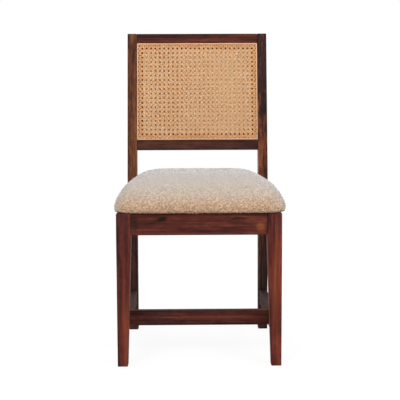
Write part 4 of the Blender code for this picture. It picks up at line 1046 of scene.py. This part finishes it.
# The photographer's white studio: a pale floor, one large soft lamp high at the front left, and
# white all round. The camera stands at the height of the chair's back, a little to the left.
CAMERA_PLACE = Vector((-0.0207, -2.39605, 0.6508))
CAMERA_YAW = math.radians(0.62)
CAMERA_PITCH = math.radians(5.10)
CAMERA_ROLL = math.radians(-0.22)
CAMERA_LENS = 800.26 / 400 * 36
WORLD_LIGHT = 0.55


def seen_share(tree):
    """One for camera, mirror and see-through rays, and nought for the light on the object."""
    path = put(tree, "ShaderNodeLightPath").outputs
    share = calc(tree, "MAXIMUM", path["Is Camera Ray"], path["Is Glossy Ray"])
    return calc(tree, "MAXIMUM", share, path["Is Transmission Ray"])


world = bpy.data.worlds.new("white_studio")
bpy.context.scene.world = world
world.use_nodes = True
sky = world.node_tree
background = sky.nodes["Background"]
background.inputs["Color"].default_value = (1.0, 1.0, 1.0, 1.0)
brightness = calc(sky, "MULTIPLY_ADD", seen_share(sky), 1.0 - WORLD_LIGHT, WORLD_LIGHT)
sky.links.new(brightness, background.inputs["Strength"])

floor_mesh = bpy.data.meshes.new("studio_floor")
floor_mesh.from_pydata([(-6, -6, 0), (6, -6, 0), (6, 9, 0), (-6, 9, 0)], [], [(0, 1, 2, 3)])
floor = bpy.data.objects.new("studio_floor", floor_mesh)
bpy.context.scene.collection.objects.link(floor)
pale = bpy.data.materials.new("pale_floor")
pale.use_nodes = True
tree = pale.node_tree
tree.nodes.remove(tree.nodes["Principled BSDF"])
ground = put(tree, "ShaderNodeTexCoord").outputs["Object"]
away = put(tree, "ShaderNodeVectorMath", {0: ground}, operation="LENGTH").outputs["Value"]
far = put(tree, "ShaderNodeMapRange", {"Value": away, "From Min": 0.5, "From Max": 2.2},
          interpolation_type="SMOOTHSTEP").outputs[0]
matt = put(tree, "ShaderNodeBsdfDiffuse", {"Color": (0.80, 0.80, 0.80, 1.0)})
faint = put(tree, "ShaderNodeBsdfDiffuse", {
    "Color": colour_ramp(tree, far, ((0.0, (0.17, 0.17, 0.17)), (1.0, (0.0, 0.0, 0.0)))),
})
glow = put(tree, "ShaderNodeEmission", {
    "Color": (1.0, 1.0, 1.0, 1.0), "Strength": calc(tree, "MULTIPLY_ADD", far, 0.14, 0.86),
})
white = put(tree, "ShaderNodeAddShader", {0: faint.outputs[0], 1: glow.outputs[0]})
mixed = put(tree, "ShaderNodeMixShader", {0: seen_share(tree), 1: matt.outputs[0], 2: white.outputs[0]})
tree.links.new(mixed.outputs[0], tree.nodes["Material Output"].inputs["Surface"])
floor_mesh.materials.append(pale)
floor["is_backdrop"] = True

for name, place, size, power in (
    ("window_lamp", (-1.2, -2.4, 2.0), 1.5, 31.0),
    ("fill_lamp", (1.8, -2.0, 1.6), 1.5, 24.0),
    ("top_lamp", (0.0, -0.4, 3.0), 1.8, 14.0),
    ("backdrop_lamp", (0.0, 2.8, 1.3), 2.4, 44.0),
):
    lamp = bpy.data.lights.new(name, "AREA")
    lamp.shape = "DISK"
    lamp.size = size
    lamp.energy = power
    holder = bpy.data.objects.new(name, lamp)
    holder.location = place
    holder.rotation_euler = (Vector((0.0, 0.0, 0.45)) - Vector(place)).to_track_quat("-Z", "Y").to_euler()
    bpy.context.scene.collection.objects.link(holder)

lens = bpy.data.cameras.new("camera")
lens.lens = CAMERA_LENS
lens.sensor_width = 36.0
camera = bpy.data.objects.new("camera", lens)
camera.matrix_world = (Matrix.Translation(CAMERA_PLACE) @ Matrix.Rotation(-CAMERA_YAW, 4, "Z")
                       @ Matrix.Rotation(math.pi / 2 - CAMERA_PITCH, 4, "X") @ Matrix.Rotation(CAMERA_ROLL, 4, "Z"))
bpy.context.scene.collection.objects.link(camera)
bpy.context.scene.camera = camera
bpy.context.scene.view_settings.view_transform = "Standard"

sizes = {"cad": [list(corner) for corner in cad_box], "visual": [list(corner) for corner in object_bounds()]}
